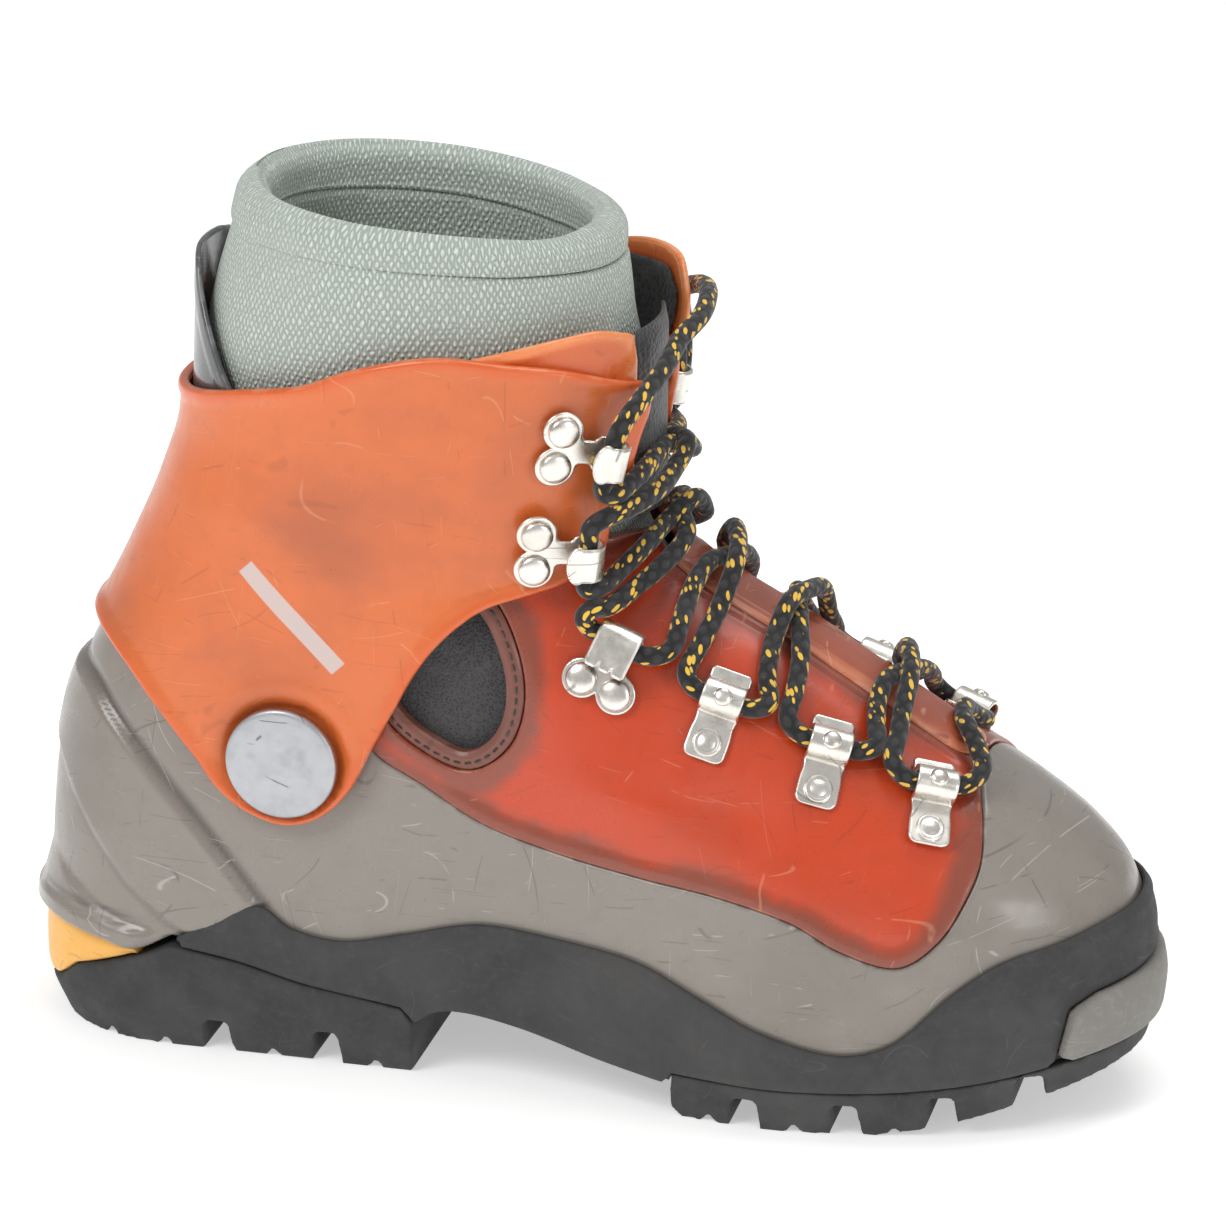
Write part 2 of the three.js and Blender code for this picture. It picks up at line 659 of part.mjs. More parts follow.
// ---- lace: one cord, laced from a bar at the toe up both sides to a bow on the inner flap ----
// Points are [x, y, z] in the boot's own side-view frame. The half that starts on the outer side crosses
// over the other half each time, and the other half is its mirror image, passing underneath.
const toeBar = [
  [276.5, 0, 103.8], [278, -8, 102.2], [279, -15, 99], [276.6, -22.5, 95.6], [271.4, -26.2, 94.8],
];
const lowerRun = [
  [264, -28.6, 96.7], [256.6, -31, 98.5], [252.6, -30, 102.5], [252.8, -24, 107.5], [253, -17, 112.6],
  [251.8, -9, 116.9, 4.4], [249.8, 0, 118.8, 6.2], [247.6, 9, 119.4, 4.4],
  [246.2, 17, 115.4], [246.6, 24.5, 110],
  [247.8, 30.5, 106], [243.6, 33, 105.1], [236, 34.7, 107.2], [228.5, 35.6, 109.3], [224.4, 34, 113],
  [224.8, 27.5, 118.6], [225, 19.5, 125.6], [223.6, 10, 133.9, 4.4],
  [221.2, 0, 135.8, 6.2], [218.8, -10, 136.5, 4.4],
  [217.2, -19, 129], [217.4, -27, 121.8], [219, -33, 117], [214.9, -35.6, 116.2], [207.3, -35.8, 118.6],
  [199.6, -36.2, 120.9], [197, -35.2, 124.6], [199.5, -29, 131],
  [202.5, -20, 138.5], [203.6, -10, 146.2, 4.4],
  [201.5, 0, 148.4, 6.2], [198.6, 10, 149.6, 4.4], [195.5, 19.5, 144.5],
  [194, 28.5, 137.5], [192.4, 35.8, 130.6],
  [186.4, 38.6, 129.7], [179.2, 38.4, 132.9], [174.5, 38.3, 134.8],
];
const upperRun = [
  [174.2, 38.3, 134.95], [171.2, 38.6, 136.4], [169.8, 39.6, 139.4], [171.8, 40, 142], [176.5, 38, 142.8],
  [181.8, 30, 146], [188, 21, 150.8], [193, 11, 156.8], [188.5, 0, 160.8, 6.2], [187, -11, 159.4],
  [183.3, -21, 156], [178.5, -31, 151.6], [174.2, -37.4, 148], [170.6, -39.2, 147.4], [169.8, -38.9, 151.4],
  [170.7, -39, 156], [171.2, -39.7, 161.5], [172, -40.2, 165.2], [175.4, -38.4, 167.6], [180.4, -31, 168.6],
  [186.3, -19, 170.7], [189.6, -9.5, 173.6], [185.8, 0, 177.4, 6.2], [184.8, 10, 177.2], [182.2, 19, 175.8],
  [179.4, 28, 174], [177, 34.6, 172.9], [174.4, 37, 174.4], [174.8, 36.4, 178.6], [176.3, 36, 183],
  [177.5, 36, 188.6], [177.2, 37, 193.5], [174.8, 39.4, 198.5], [170.6, 42.5, 202.5],
];
// The other half's own way from the outer high hook, over the front and round the inner flap to the knot.
const overFront = [
  [177.5, -36, 188.6], [179.4, -34.4, 193], [183, -27, 198.5], [186.2, -16, 203.5], [187.6, -5, 208],
  [187.6, 6, 211.5], [185.8, 17, 213.6], [181.8, 26.4, 213.4], [176.6, 34.2, 211.2], [171.4, 40.6, 207.2],
];
const knot = { x: 168.5, y: 44.8, z: 204.5, radius: 5.6, stretch: 1.2 };
const rearLoop = [
  [166, 45, 206.5], [158, 48, 208.5], [149, 50.6, 206], [141, 52, 199], [136.5, 52.4, 188], [137, 52.6, 177],
  [141.5, 52.2, 173], [146, 51.4, 179], [149.5, 50.4, 190], [156, 48.6, 199], [164, 46, 204],
];
const frontLoop = [
  [171, 45, 206], [177.6, 47, 203.5], [182.4, 48.4, 194],
  [184.4, 49, 181], [182.4, 49.2, 172], [177.6, 49.2, 170.6],
  [175.2, 49.2, 177], [176, 48.6, 190], [175, 47.2, 197.4], [171, 45.6, 202],
];
const rearTail = [
  [162, 47.2, 197.4], [160, 48.8, 190.6], [158.8, 49.6, 181], [157.9, 50, 169], [157.8, 49.8, 156],
  [158.4, 49.2, 143], [159, 48.6, 130], [158.6, 48, 117], [157.6, 47.6, 104.5],
];
const frontTail = [
  [168, 47.8, 194.6], [167.4, 48.8, 188.6], [166.6, 49.4, 178], [166.2, 49.6, 166], [166.8, 49.4, 153],
  [168, 48.8, 140], [168.8, 48.2, 127], [168.6, 47.8, 114], [167.6, 47.4, 101],
];

// How much further out the clips stand on the inner side than on the outer side, and how far out they stand.
const innerShift = smooth([[180, 0], [207, 0.3], [236, 1.5], [264, 1.7]]);
const clipReach = 30;

// A crossing's point, raised by its lift square to the ridge under it.
function lifted([x, y, z, lift = 0]) {
  const slope = frontX(z - 7) - frontX(z - 9);
  const out = new THREE.Vector2(2, -slope).normalize().multiplyScalar(lift);
  return [x + out.x, y, z + out.y];
}

// The other half: the same run seen in a mirror, and always underneath.
function mirrored(run) {
  return run.map(([x, y, z]) => [x, (innerShift(x) * Math.abs(y)) / clipReach - y, z]);
}

function cord(points, steps) {
  const vectors = points.map((p) => new THREE.Vector3(...p));
  const path = new THREE.CatmullRomCurve3(vectors, false, "centripetal");
  const section = new THREE.Shape();
  for (let i = 0; i < 8; i++) {
    const turn = (2 * Math.PI * i) / 8;
    const [a, b] = [laceRadius * Math.cos(turn), laceRadius * Math.sin(turn)];
    if (i) section.lineTo(a, b);
    else section.moveTo(a, b);
  }
  return solidOf(new THREE.ExtrudeGeometry(section, { steps, extrudePath: path, bevelEnabled: false }));
}

function laceLower() {
  const over = [...toeBar, ...lowerRun].map(lifted);
  const under = mirrored([...toeBar, ...lowerRun]);
  return cord([...reversed(over), ...under.slice(1)], 120);
}

function laceUpper() {
  const over = upperRun.map(lifted);
  const under = [...mirrored(upperRun).slice(0, -4), ...overFront];
  const ball = new THREE.SphereGeometry(knot.radius, 10, 8);
  ball.scale(1, 1, knot.stretch);
  ball.translate(knot.x, knot.y, knot.z);
  return union([cord(over, 40), cord(under, 52), solidOf(ball), cord(rearLoop, 14), cord(frontLoop, 14)]);
}

// ---- pivots: a capped pin and a bush on each side, on one level axis across the boot ----
const pivotWall = halfWidth(pivotX, pivotZ, false) + pivotStand; // from the middle plane to the bush's seat

function across(radius, y0, y1, side, fine = 24, widen = radius) {
  const [top, bottom] = side > 0 ? [widen, radius] : [radius, widen];
  const geometry = new THREE.CylinderGeometry(top, bottom, y1 - y0, fine);
  geometry.translate(pivotX, (side * (y0 + y1)) / 2, pivotZ);
  return solidOf(geometry);
}

const cuffSeat = (h, side) => seat(h.x, h.z, side, cuffHeight + h.lift, h.tilt);
const lockSeat = (side) => seat(lockHook.x, lockHook.z, side, lockHook.lift, lockHook.tilt);
const cuffSeats = sides.flatMap(([, side]) => cuffHooks.map((h) => cuffSeat(h, side)));
const lockSeats = sides.map(([, side]) => lockSeat(side));
const bores = (radius) => union(sides.map(([, side]) => across(radius, 20, 80, side)));
const capSeat = pivotWall + cuffHeight - 0.2;
const capPockets = union(sides.map(([, side]) => across(pivotCapRadius + gap, capSeat, 80, side)));

addPiece("heel_tread", heelTread(), rubberBlack, 0.85);
addPiece("forefoot_tread", forefootTread(), rubberBlack, 0.85);
addPiece("midsole_rand", midsoleRand(), rubberBlack, 0.8);
addPiece("toe_welt", toeWelt(), shellGrey, 0.6);
addPiece("heel_wedge", heelWedge(), heelYellow, 0.7);
addPiece("lower_shell", lowerShell().subtract(bores(pivotPinRadius + gap)), shellGrey, 0.4);
addPiece("instep_upper", instepUpper().subtract(union(lockSeats.map(rivetHoles))), upperRed, 0.4);
addPiece("window_trim_outer", windowTrim(-sideReach, 0), trimBrown, 0.7);
addPiece("window_trim_inner", windowTrim(0, sideReach), trimBrown, 0.7);
addPiece("ankle_pad_outer", anklePad(-sideReach, 0), clothBlack, 0.9);
addPiece("ankle_pad_inner", anklePad(0, sideReach), clothBlack, 0.9);
addPiece("shell_tongue", shellTongue(), upperRed, 0.4);
addPiece("tongue_gusset", tongueGusset(), clothBlack, 0.6);
addPiece("tongue_upper", tongueUpper(), clothBlack, 0.6);
const cuffCuts = union([bores(pivotPinRadius + gap), capPockets, ...cuffSeats.map(rivetHoles)]);
addPiece("cuff", cuff().subtract(cuffCuts), cuffOrange, 0.4);
addPiece("cuff_wing_outer", cuffWing(outerWingTop, -sideReach, 0), cuffOrange, 0.4);
addPiece("cuff_wing_inner", cuffWing(innerWingTop, 0, sideReach), cuffOrange, 0.4);
addPiece("flap_lining", flapLining(), clothBlack, 0.8);
addPiece("rear_spoiler", rearSpoiler(), 0x55565a, 0.3);
addPiece("liner_foot", linerFoot(), linerGreen, 0.95);
const ankle = linerPart([...ankleLow, ...reversed(raised(ankleHigh, -gap))]);
addPiece("liner_ankle", ankle, linerGreen, 0.95);
addPiece("liner_shaft", linerPart([...ankleHigh, ...reversed(raised(rimLow, -gap))]), linerGreen, 0.95);
addPiece("liner_collar", linerCollar(), linerGreen, 0.95);
addPiece("liner_tongue", linerTongue(), linerGreen, 0.95);
addPiece("footbed", footbed(), 0x4a4f52, 0.9);

for (const [sideName, side] of sides) {
  const pinEnd = pivotWall - shellWall - 1.2; // just through the shell
  addPiece("pivot_pin_" + sideName, across(pivotPinRadius, pinEnd, capSeat, side, 16), steel, 0.3, 1);
  const bush = across(pivotPinRadius + bushWiden, pivotWall + 0.7, pivotWall + 1.9, side, 20);
  addPiece("pivot_bush_" + sideName, bush.subtract(bores(pivotPinRadius + gap)), 0xd8d8d2, 0.6);
  const capInside = capSeat + gap;
  const bevel = pivotCapRadius - 0.6;
  const cap = across(pivotCapRadius, capInside, capInside + pivotCapThickness, side, 32, bevel);
  addPiece("pivot_cap_" + sideName, cap, capSilver, 0.4, 0.6);
  for (const h of cuffHooks) {
    const matrix = cuffSeat(h, side);
    addPiece(`cuff_hook_${h.name}_${sideName}`, seated(hook(4.2, 7.5), matrix), steel, 0.25, 1);
    for (const [end, v] of [["lower", -rivetSpread], ["upper", rivetSpread]])
      addPiece(`cuff_rivet_${h.name}_${end}_${sideName}`, seated(rivet(v, 3), matrix), steel, 0.25, 1);
  }
  const lock = lockSeat(side);
  addPiece("lock_hook_" + sideName, seated(hook(5.8, 5), lock), steel, 0.25, 1);
  for (const [end, v] of [["rear", rivetSpread], ["front", -rivetSpread]])
    addPiece(`lock_rivet_${end}_${sideName}`, seated(rivet(v, 2.8), lock), steel, 0.25, 1);
  for (const clip of clips) {
    const matrix = seat(clip.x, clip.z, side, clipLift, clipTilt);
    addPiece(`lace_clip_${clip.name}_${sideName}`, seated(laceClip(), matrix), steel, 0.25, 1);
  }
}

addPiece("lace_lower", laceLower(), clothBlack, 0.9);
addPiece("lace_upper", laceUpper(), clothBlack, 0.9);
addPiece("lace_tail_rear", cord(rearTail, 12), clothBlack, 0.9);
addPiece("lace_tail_front", cord(frontTail, 12), clothBlack, 0.9);

const bounds = new THREE.Box3().setFromObject(boot);
const centre = bounds.getCenter(new THREE.Vector3());
boot.position.set(-centre.x, -centre.y, -bounds.min.z);

export default boot;
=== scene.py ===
# Looks of one plastic mountaineering double boot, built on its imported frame.
# Shapes are worked out in millimetres: x from the heel ledge to the toe, z up from the ground, and the outer
# (lateral) side of the foot at -y. place() turns them into the frame's metres.
import json
import math

import bpy
import bmesh
import numpy as np
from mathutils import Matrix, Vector


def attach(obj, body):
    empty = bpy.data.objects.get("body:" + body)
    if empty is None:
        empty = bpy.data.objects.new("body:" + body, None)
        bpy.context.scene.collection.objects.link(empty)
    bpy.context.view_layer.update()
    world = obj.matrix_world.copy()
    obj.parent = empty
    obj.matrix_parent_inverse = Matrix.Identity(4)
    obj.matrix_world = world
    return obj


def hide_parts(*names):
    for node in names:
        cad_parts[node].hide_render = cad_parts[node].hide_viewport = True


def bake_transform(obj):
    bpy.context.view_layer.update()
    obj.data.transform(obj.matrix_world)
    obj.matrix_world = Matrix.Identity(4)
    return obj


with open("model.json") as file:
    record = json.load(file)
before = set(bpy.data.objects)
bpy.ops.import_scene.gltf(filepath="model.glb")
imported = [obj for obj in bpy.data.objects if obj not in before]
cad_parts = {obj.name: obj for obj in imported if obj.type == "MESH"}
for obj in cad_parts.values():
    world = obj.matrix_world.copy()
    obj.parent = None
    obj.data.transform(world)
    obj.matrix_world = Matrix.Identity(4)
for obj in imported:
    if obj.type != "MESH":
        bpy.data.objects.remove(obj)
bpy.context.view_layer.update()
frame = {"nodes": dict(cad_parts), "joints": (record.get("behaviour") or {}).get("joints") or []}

PIVOT_X, PIVOT_Z = 86.0, 92.0
hinge = next(j for j in frame["joints"] if j["name"] == "cuff_pivot")
SHIFT = np.array(hinge["pos_m"]) * 1000 - (PIVOT_X, 0, PIVOT_Z)

GAP = 0.3
SHELL_WALL = 3.2
CUFF_WALL = 3.4
CUFF_CLEARANCE = 2.6
LACE_RADIUS = 2.75
CORD_FINE = 6  # points between two chosen points of a lace
TAU = 2 * math.pi
SIDES = (("outer", -1), ("inner", 1))


def place(points):
    """Millimetres of the boot's own side view, as metres of the frame."""
    return (np.asarray(points, float) + SHIFT) / 1000


# ---- curves ----
def smooth(pairs):
    """A curve through (at, value) pairs that never overshoots, level beyond both ends."""
    at = np.array([p[0] for p in pairs], float)
    value = np.array([p[1] for p in pairs], float)
    span = np.diff(at)
    slope = np.diff(value) / span
    tangent = np.empty(len(at))
    tangent[0], tangent[-1] = slope[0], slope[-1]
    product = slope[:-1] * slope[1:]
    total = slope[:-1] + slope[1:]
    tangent[1:-1] = np.where(product <= 0, 0, 2 * product / np.where(product <= 0, 1, total))

    def curve(x):
        x = np.asarray(x, float)
        i = np.clip(np.searchsorted(at, x, side="right") - 1, 0, len(span) - 1)
        t = np.clip((x - at[i]) / span[i], 0, 1)
        u = 1 - t
        return (value[i] * (1 + 2 * t) * u**2 + tangent[i] * span[i] * t * u**2
                + value[i + 1] * t * t * (3 - 2 * t) + tangent[i + 1] * span[i] * t * t * (t - 1))

    return curve


def ramp(x, low, high):
    """0 below low, 1 over high, and smooth between them."""
    t = np.clip((np.asarray(x, float) - low) / (high - low), 0, 1)
    return t * t * (3 - 2 * t)


def through(points, fine=8):
    """A centripetal Catmull-Rom curve through the points, as dense points."""
    p = np.array(points, float)
    if len(p) < 3:
        return p
    p = np.vstack([2 * p[0] - p[1], p, 2 * p[-1] - p[-2]])
    made = []
    t = np.linspace(0, 1, fine, endpoint=False)[:, None]
    for k in range(1, len(p) - 2):
        p0, p1, p2, p3 = p[k - 1 : k + 3]
        pairs = ((p0, p1), (p1, p2), (p2, p3))
        d0, d1, d2 = (max(np.linalg.norm(b - a), 1e-4) ** 0.5 for a, b in pairs)
        m1 = ((p1 - p0) / d0 - (p2 - p0) / (d0 + d1) + (p2 - p1) / d1) * d1
        m2 = ((p2 - p1) / d1 - (p3 - p1) / (d1 + d2) + (p3 - p2) / d2) * d1
        made.append((2 * t**3 - 3 * t**2 + 1) * p1 + (t**3 - 2 * t**2 + t) * m1
                    + (3 * t**2 - 2 * t**3) * p2 + (t**3 - t**2) * m2)
    made.append(p[-2][None])
    return np.vstack(made)


def joined(*runs):
    """One closed outline from several runs of points, each already in order."""
    return np.vstack([np.asarray(r, float) for r in runs])


def raised(points, rise):
    return [(x, z + rise) for x, z in points]


def height_on(line, x):
    """Height at x of a line of (x, z) points."""
    at, height = zip(*line)
    return np.interp(x, at, height)


def bump_at(x, middle, width):
    """A smooth bump, 1 at its middle."""
    return np.exp(-(((x - middle) / width) ** 2))


def distance_to(outline):
    """Signed distance to a closed outline, positive inside."""
    a = np.asarray(outline, float)
    b = np.roll(a, -1, axis=0)
    keep = np.linalg.norm(b - a, axis=1) > 1e-9
    a, b = a[keep], b[keep]
    d = b - a
    size = (d**2).sum(1)

    def signed(x, z):
        x, z = np.broadcast_arrays(np.asarray(x, float), np.asarray(z, float))
        flat = np.stack([x.ravel(), z.ravel()], 1)
        out = np.empty(len(flat))
        for start in range(0, len(flat), 20000):
            q = flat[start : start + 20000]
            to = q[:, None] - a[None]
            t = np.clip((to * d).sum(2) / size, 0, 1)
            near = np.sqrt(((to - t[..., None] * d) ** 2).sum(2).min(1))
            above = (a[:, 1] > q[:, 1, None]) != (b[:, 1] > q[:, 1, None])
            rise = np.where(np.abs(d[:, 1]) < 1e-12, 1e-12, d[:, 1])
            cross = a[:, 0] + (q[:, 1, None] - a[:, 1]) * d[:, 0] / rise
            inside = (above & (q[:, 0, None] < cross)).sum(1) % 2 == 1
            out[start : start + 20000] = np.where(inside, near, -near)
        return out.reshape(x.shape)

    return signed


# ---- the boot's surface: one level outline for each height ----
rear_x = smooth([(0, 5), (20, 4), (45, 6), (70, 8), (92, 12), (108, 18), (140, 35), (163, 46), (182, 52),
                 (212, 54), (250, 57)])
front_x = smooth([(0, 312), (20, 318), (48, 319), (64, 314), (74, 306), (86, 290), (99, 268), (125, 226),
                  (147, 190), (158, 183), (175, 180), (205, 180), (250, 178)])
rear_round = smooth([(60, 44), (110, 50), (150, 60), (190, 66), (250, 64)])
front_round = smooth([(60, 105), (80, 118), (105, 130), (140, 130), (158, 100), (175, 76), (200, 66),
                      (250, 62)])
foot_width = smooth([(0, 38), (45, 39), (110, 40), (160, 44), (230, 54), (270, 54), (330, 50)])
lean = smooth([(45, 1), (80, 0.97), (110, 0.93), (150, 0.9)])
shaft_width = smooth([(100, 41), (140, 42), (180, 44), (212, 46), (250, 47)])
shaft_share = smooth([(90, 0), (160, 1)])
waist = smooth([(90, 0), (165, 3.5), (235, 0)])
CAP_POWER = 2.2
INNER_TOE_ROUND = 0.86


def cap(t):
    """How full the outline is, from 0 at an end to 1 where its rounding stops."""
    t = np.clip(t, 0, 1)
    return (1 - (1 - t) ** CAP_POWER) ** (1 / CAP_POWER)


def half_width(x, z, inner):
    """Half the boot's width: a foot low down, a shaft high up."""
    share = shaft_share(z)
    foot = (foot_width(x) - np.where(inner, waist(x), 0)) * lean(z)
    width = (1 - share) * foot + share * shaft_width(z)
    front = front_round(z) * np.where(inner, INNER_TOE_ROUND + (1 - INNER_TOE_ROUND) * share, 1)
    return width * cap((x - rear_x(z)) / rear_round(z)) * cap((front_x(z) - x) / front)


def surface(turn, z):
    """Turn goes once round from the heel, over the outer side first."""
    turn = np.mod(turn, TAU)
    z = np.broadcast_to(np.asarray(z, float), turn.shape)
    rear = rear_x(z)
    x = rear + (front_x(z) - rear) * (1 - np.cos(turn)) / 2
    inner = turn > math.pi
    return np.stack([x, np.where(inner, 1, -1) * half_width(x, z, inner), z], -1)


def normal(turn, z):
    """Unit normals, outwards."""
    along = surface(turn + 0.02, z) - surface(turn - 0.02, z)
    up = surface(turn, np.asarray(z) + 0.5) - surface(turn, np.asarray(z) - 0.5)
    n = np.cross(along, up)
    return n / np.linalg.norm(n, axis=-1, keepdims=True)


def shell_lift(turn, z, height):
    """Points a height off the surface."""
    return surface(turn, z) + normal(turn, z) * np.asarray(height)[..., None]


def turn_at(x, z, side):
    """The turn at which one side of the surface passes x."""
    rear = rear_x(z)
    turn = np.arccos(np.clip(1 - 2 * (x - rear) / (front_x(z) - rear), -1, 1))
    return turn if side < 0 else TAU - turn


# ---- meshes ----
def ring_faces(rings, around, first=0):
    """Four-sided faces between rings of points that lie one after the other."""
    faces = []
    for k in range(rings - 1):
        low, high = first + k * around, first + (k + 1) * around
        for i in range(around):
            j = (i + 1) % around
            faces.append((low + i, low + j, high + j, high + i))
    return faces


def ring_caps(rings, around):
    return [tuple(range(around))[::-1], tuple((rings - 1) * around + i for i in range(around))]


def gathered(parts):
    """Several (points, faces) as one."""
    points, faces, count = [], [], 0
    for p, f in parts:
        points.append(p)
        faces += [tuple(v + count for v in face) for face in f]
        count += len(p)
    return np.vstack(points), faces


def linked(name, mesh, material):
    """The mesh as an object of the scene, smooth-shaded."""
    mesh.polygons.foreach_set("use_smooth", [True] * len(mesh.polygons))
    mesh.materials.append(material)
    mesh.update()
    made = bpy.data.objects.new(name, mesh)
    bpy.context.scene.collection.objects.link(made)
    return made


def laid_out(mesh, corners):
    """A UV for each face corner."""
    flat = np.asarray(corners, np.float32).ravel()
    mesh.uv_layers.new(name="UVMap").data.foreach_set("uv", flat)


def marked(mesh, name, value):
    """A number for each vertex, for the materials."""
    data = mesh.attributes.new(name, "FLOAT", "POINT").data
    data.foreach_set("value", np.asarray(value, np.float32))


def make(name, points, faces, material, values=None):
    """A closed mesh from millimetre points, its faces turned outwards."""
    p = np.asarray(points, float)
    fans = np.array([(f[0], f[m], f[m + 1]) for f in faces for m in range(1, len(f) - 1)])
    a, b, c = (p[fans[:, k]] - p.mean(0) for k in range(3))
    if (a * np.cross(b, c)).sum() < 0:
        faces = [f[::-1] for f in faces]
    mesh = bpy.data.meshes.new(name)
    mesh.from_pydata(place(points).tolist(), [], [[int(v) for v in f] for f in faces])
    for key, value in (values or {}).items():
        marked(mesh, key, value)
    return linked(name, mesh, material)


def contour(a, b, level, wrap):
    """Cells of the grid where level is over 0, cut exactly at 0: points, faces and open edges."""
    na = len(a)
    inside = level > 0
    number = -np.ones(level.shape, int)
    number[inside] = np.arange(inside.sum())
    points = [np.stack(np.meshgrid(a, b, indexing="ij"), -1)[inside]]
    count = int(inside.sum())
    step = a[1] - a[0]
    extra, crossing, faces, rims = [], {}, [], []
    nxt = np.roll(inside, -1, axis=0)
    full = inside[:, :-1] & inside[:, 1:] & nxt[:, :-1] & nxt[:, 1:]
    some = inside[:, :-1] | inside[:, 1:] | nxt[:, :-1] | nxt[:, 1:]
    if not wrap:
        full[-1], some[-1] = False, False
    i, k = np.nonzero(full)
    j = (i + 1) % na
    cells = np.stack([number[i, k], number[j, k], number[j, k + 1], number[i, k + 1]], 1)
    faces += map(tuple, cells.tolist())

    def cross(i, k, j, m):
        key = (min((i, k), (j, m)), max((i, k), (j, m)))
        if key not in crossing:
            t = level[i, k] / (level[i, k] - level[j, m])
            ai, aj = a[i], a[j]
            if wrap and abs(i - j) > 1:
                ai, aj = (ai, ai + step) if i > j else (aj + step, aj)
            extra.append((ai + (aj - ai) * t, b[k] + (b[m] - b[k]) * t))
            crossing[key] = count + len(extra) - 1
        return crossing[key]

    for i, k in zip(*np.nonzero(some & ~full)):
        j = (i + 1) % na
        corners = [(i, k), (j, k), (j, k + 1), (i, k + 1)]
        face, cut = [], []
        for m in range(4):
            p, q = corners[m], corners[(m + 1) % 4]
            if inside[p]:
                face.append(number[p])
                cut.append(False)
            if inside[p] != inside[q]:
                face.append(cross(*p, *q))
                cut.append(True)
        if len(face) < 3:
            continue
        faces.append(tuple(face))
        for m in range(len(face)):
            if cut[m] and cut[(m + 1) % len(face)]:
                rims.append((face[m], face[(m + 1) % len(face)]))
    if extra:
        points.append(np.array(extra))
    return np.vstack(points), faces, rims


def sheet_solid(a, b, region, lift, out, inn, rim, wrap=False, arc=4):
    """A plate with rounded edges that follows lift(a, b, height) where region(a, b) is over 0."""
    grid_a, grid_b = np.meshgrid(a, b, indexing="ij")
    level = region(grid_a, grid_b) - rim
    flat, faces, rims = contour(a, b, level, wrap)
    pa, pb = flat[:, 0], flat[:, 1]
    depth = region(pa, pb)
    high, low = out(pa, pb, depth), inn(pa, pb, depth)
    count = len(flat)
    edge = np.array(sorted({v for r in rims for v in r}), int)
    slot = -np.ones(count, int)
    slot[edge] = np.arange(len(edge))
    ea, eb = pa[edge], pb[edge]
    sa, sb = 0.25 * (a[1] - a[0]), 0.25 * (b[1] - b[0])
    zero = np.zeros(len(edge))
    da = (lift(ea + sa, eb, zero) - lift(ea - sa, eb, zero)) / (2 * sa)
    db = (lift(ea, eb + sb, zero) - lift(ea, eb - sb, zero)) / (2 * sb)
    ga = (region(ea + sa, eb) - region(ea - sa, eb)) / (2 * sa)
    gb = (region(ea, eb + sb) - region(ea, eb - sb)) / (2 * sb)
    aa, ab, bb = (da * da).sum(1), (da * db).sum(1), (db * db).sum(1)
    det = np.maximum(aa * bb - ab * ab, 1e-9)
    wa, wb = (bb * ga - ab * gb) / det, (aa * gb - ab * ga) / det
    steep = np.maximum(np.sqrt(np.maximum(ga * wa + gb * wb, 1e-12)), 0.45)
    wa, wb = -wa / steep**2, -wb / steep**2
    profile = []
    for k, upper in [(k, True) for k in range(1, arc + 1)] + [(k, False) for k in range(arc, -1, -1)]:
        t = k / arc * math.pi / 2
        profile.append((rim * (1 - math.sin(t)), rim * (1 - math.cos(t)) * (-1 if upper else 1), upper))
    coords = [lift(pa, pb, high)]
    depths, insides, uvs = [depth], [np.zeros(count)], [flat]
    for inset, drop, upper in profile:
        qa, qb = ea + wa * (rim - inset), eb + wb * (rim - inset)
        h = (out if upper else inn)(qa, qb, np.full(len(edge), inset)) + drop
        coords.append(lift(qa, qb, h))
        depths.append(np.full(len(edge), inset))
        insides.append(np.full(len(edge), 0.0 if upper else 1.0))
        uvs.append(np.stack([qa, qb], 1))
    coords.append(lift(pa, pb, low))
    depths.append(depth)
    insides.append(np.ones(count))
    uvs.append(flat)
    solid = [tuple(f) for f in faces]
    back = count + len(profile) * len(edge)
    solid += [tuple(v + back for v in reversed(f)) for f in faces]
    for p, q in rims:
        rings_p = [p] + [count + n * len(edge) + slot[p] for n in range(len(profile))] + [back + p]
        rings_q = [q] + [count + n * len(edge) + slot[q] for n in range(len(profile))] + [back + q]
        for n in range(len(rings_p) - 1):
            solid.append((rings_q[n], rings_p[n], rings_p[n + 1], rings_q[n + 1]))
    return (np.vstack(coords), solid, np.vstack(uvs),
            {"edge": np.concatenate(depths), "inside": np.concatenate(insides)})


SPAN = 108  # mm of surface for each radian of turn, about


def shell_piece(name, region, out, inn, rim, material, low, high, step, start=0.0):
    """A curved wall that follows the boot's surface where region(x, y, z) is over 0.

    out and inn are the heights of its two faces off the surface: numbers, or rules of x, y, z and the
    distance to its outline. rim rounds its edges, and low and high are its limits in z."""
    around = int(round(TAU * SPAN / step))
    a = start + np.arange(around) * TAU / around
    b = np.arange(low, high + step, step)

    def where(turn, z):
        p = surface(turn, z)
        return region(p[..., 0], p[..., 1], p[..., 2])

    def height(rule):
        if not callable(rule):
            return lambda turn, z, depth: np.full(np.shape(turn), float(rule))

        def of(turn, z, depth):
            p = surface(turn, z)
            return rule(p[..., 0], p[..., 1], p[..., 2], depth)

        return of

    points, faces, uv, values = sheet_solid(a, b, where, shell_lift, height(out), height(inn), rim, True)
    made = make(name, points, faces, material, values)
    mesh = made.data
    index = np.empty(len(mesh.loops), int)
    mesh.loops.foreach_get("vertex_index", index)
    turn = uv[index, 0] - start
    totals = np.empty(len(mesh.polygons), int)
    mesh.polygons.foreach_get("loop_total", totals)
    owner = np.repeat(np.arange(len(totals)), totals)
    widest = np.zeros(len(totals))
    np.maximum.at(widest, owner, turn)
    turn += np.where((widest[owner] > 1.5 * math.pi) & (turn < 0.5 * math.pi), TAU, 0)
    laid_out(mesh, np.stack([turn * SPAN, uv[index, 1]], 1) / 1000)
    return made


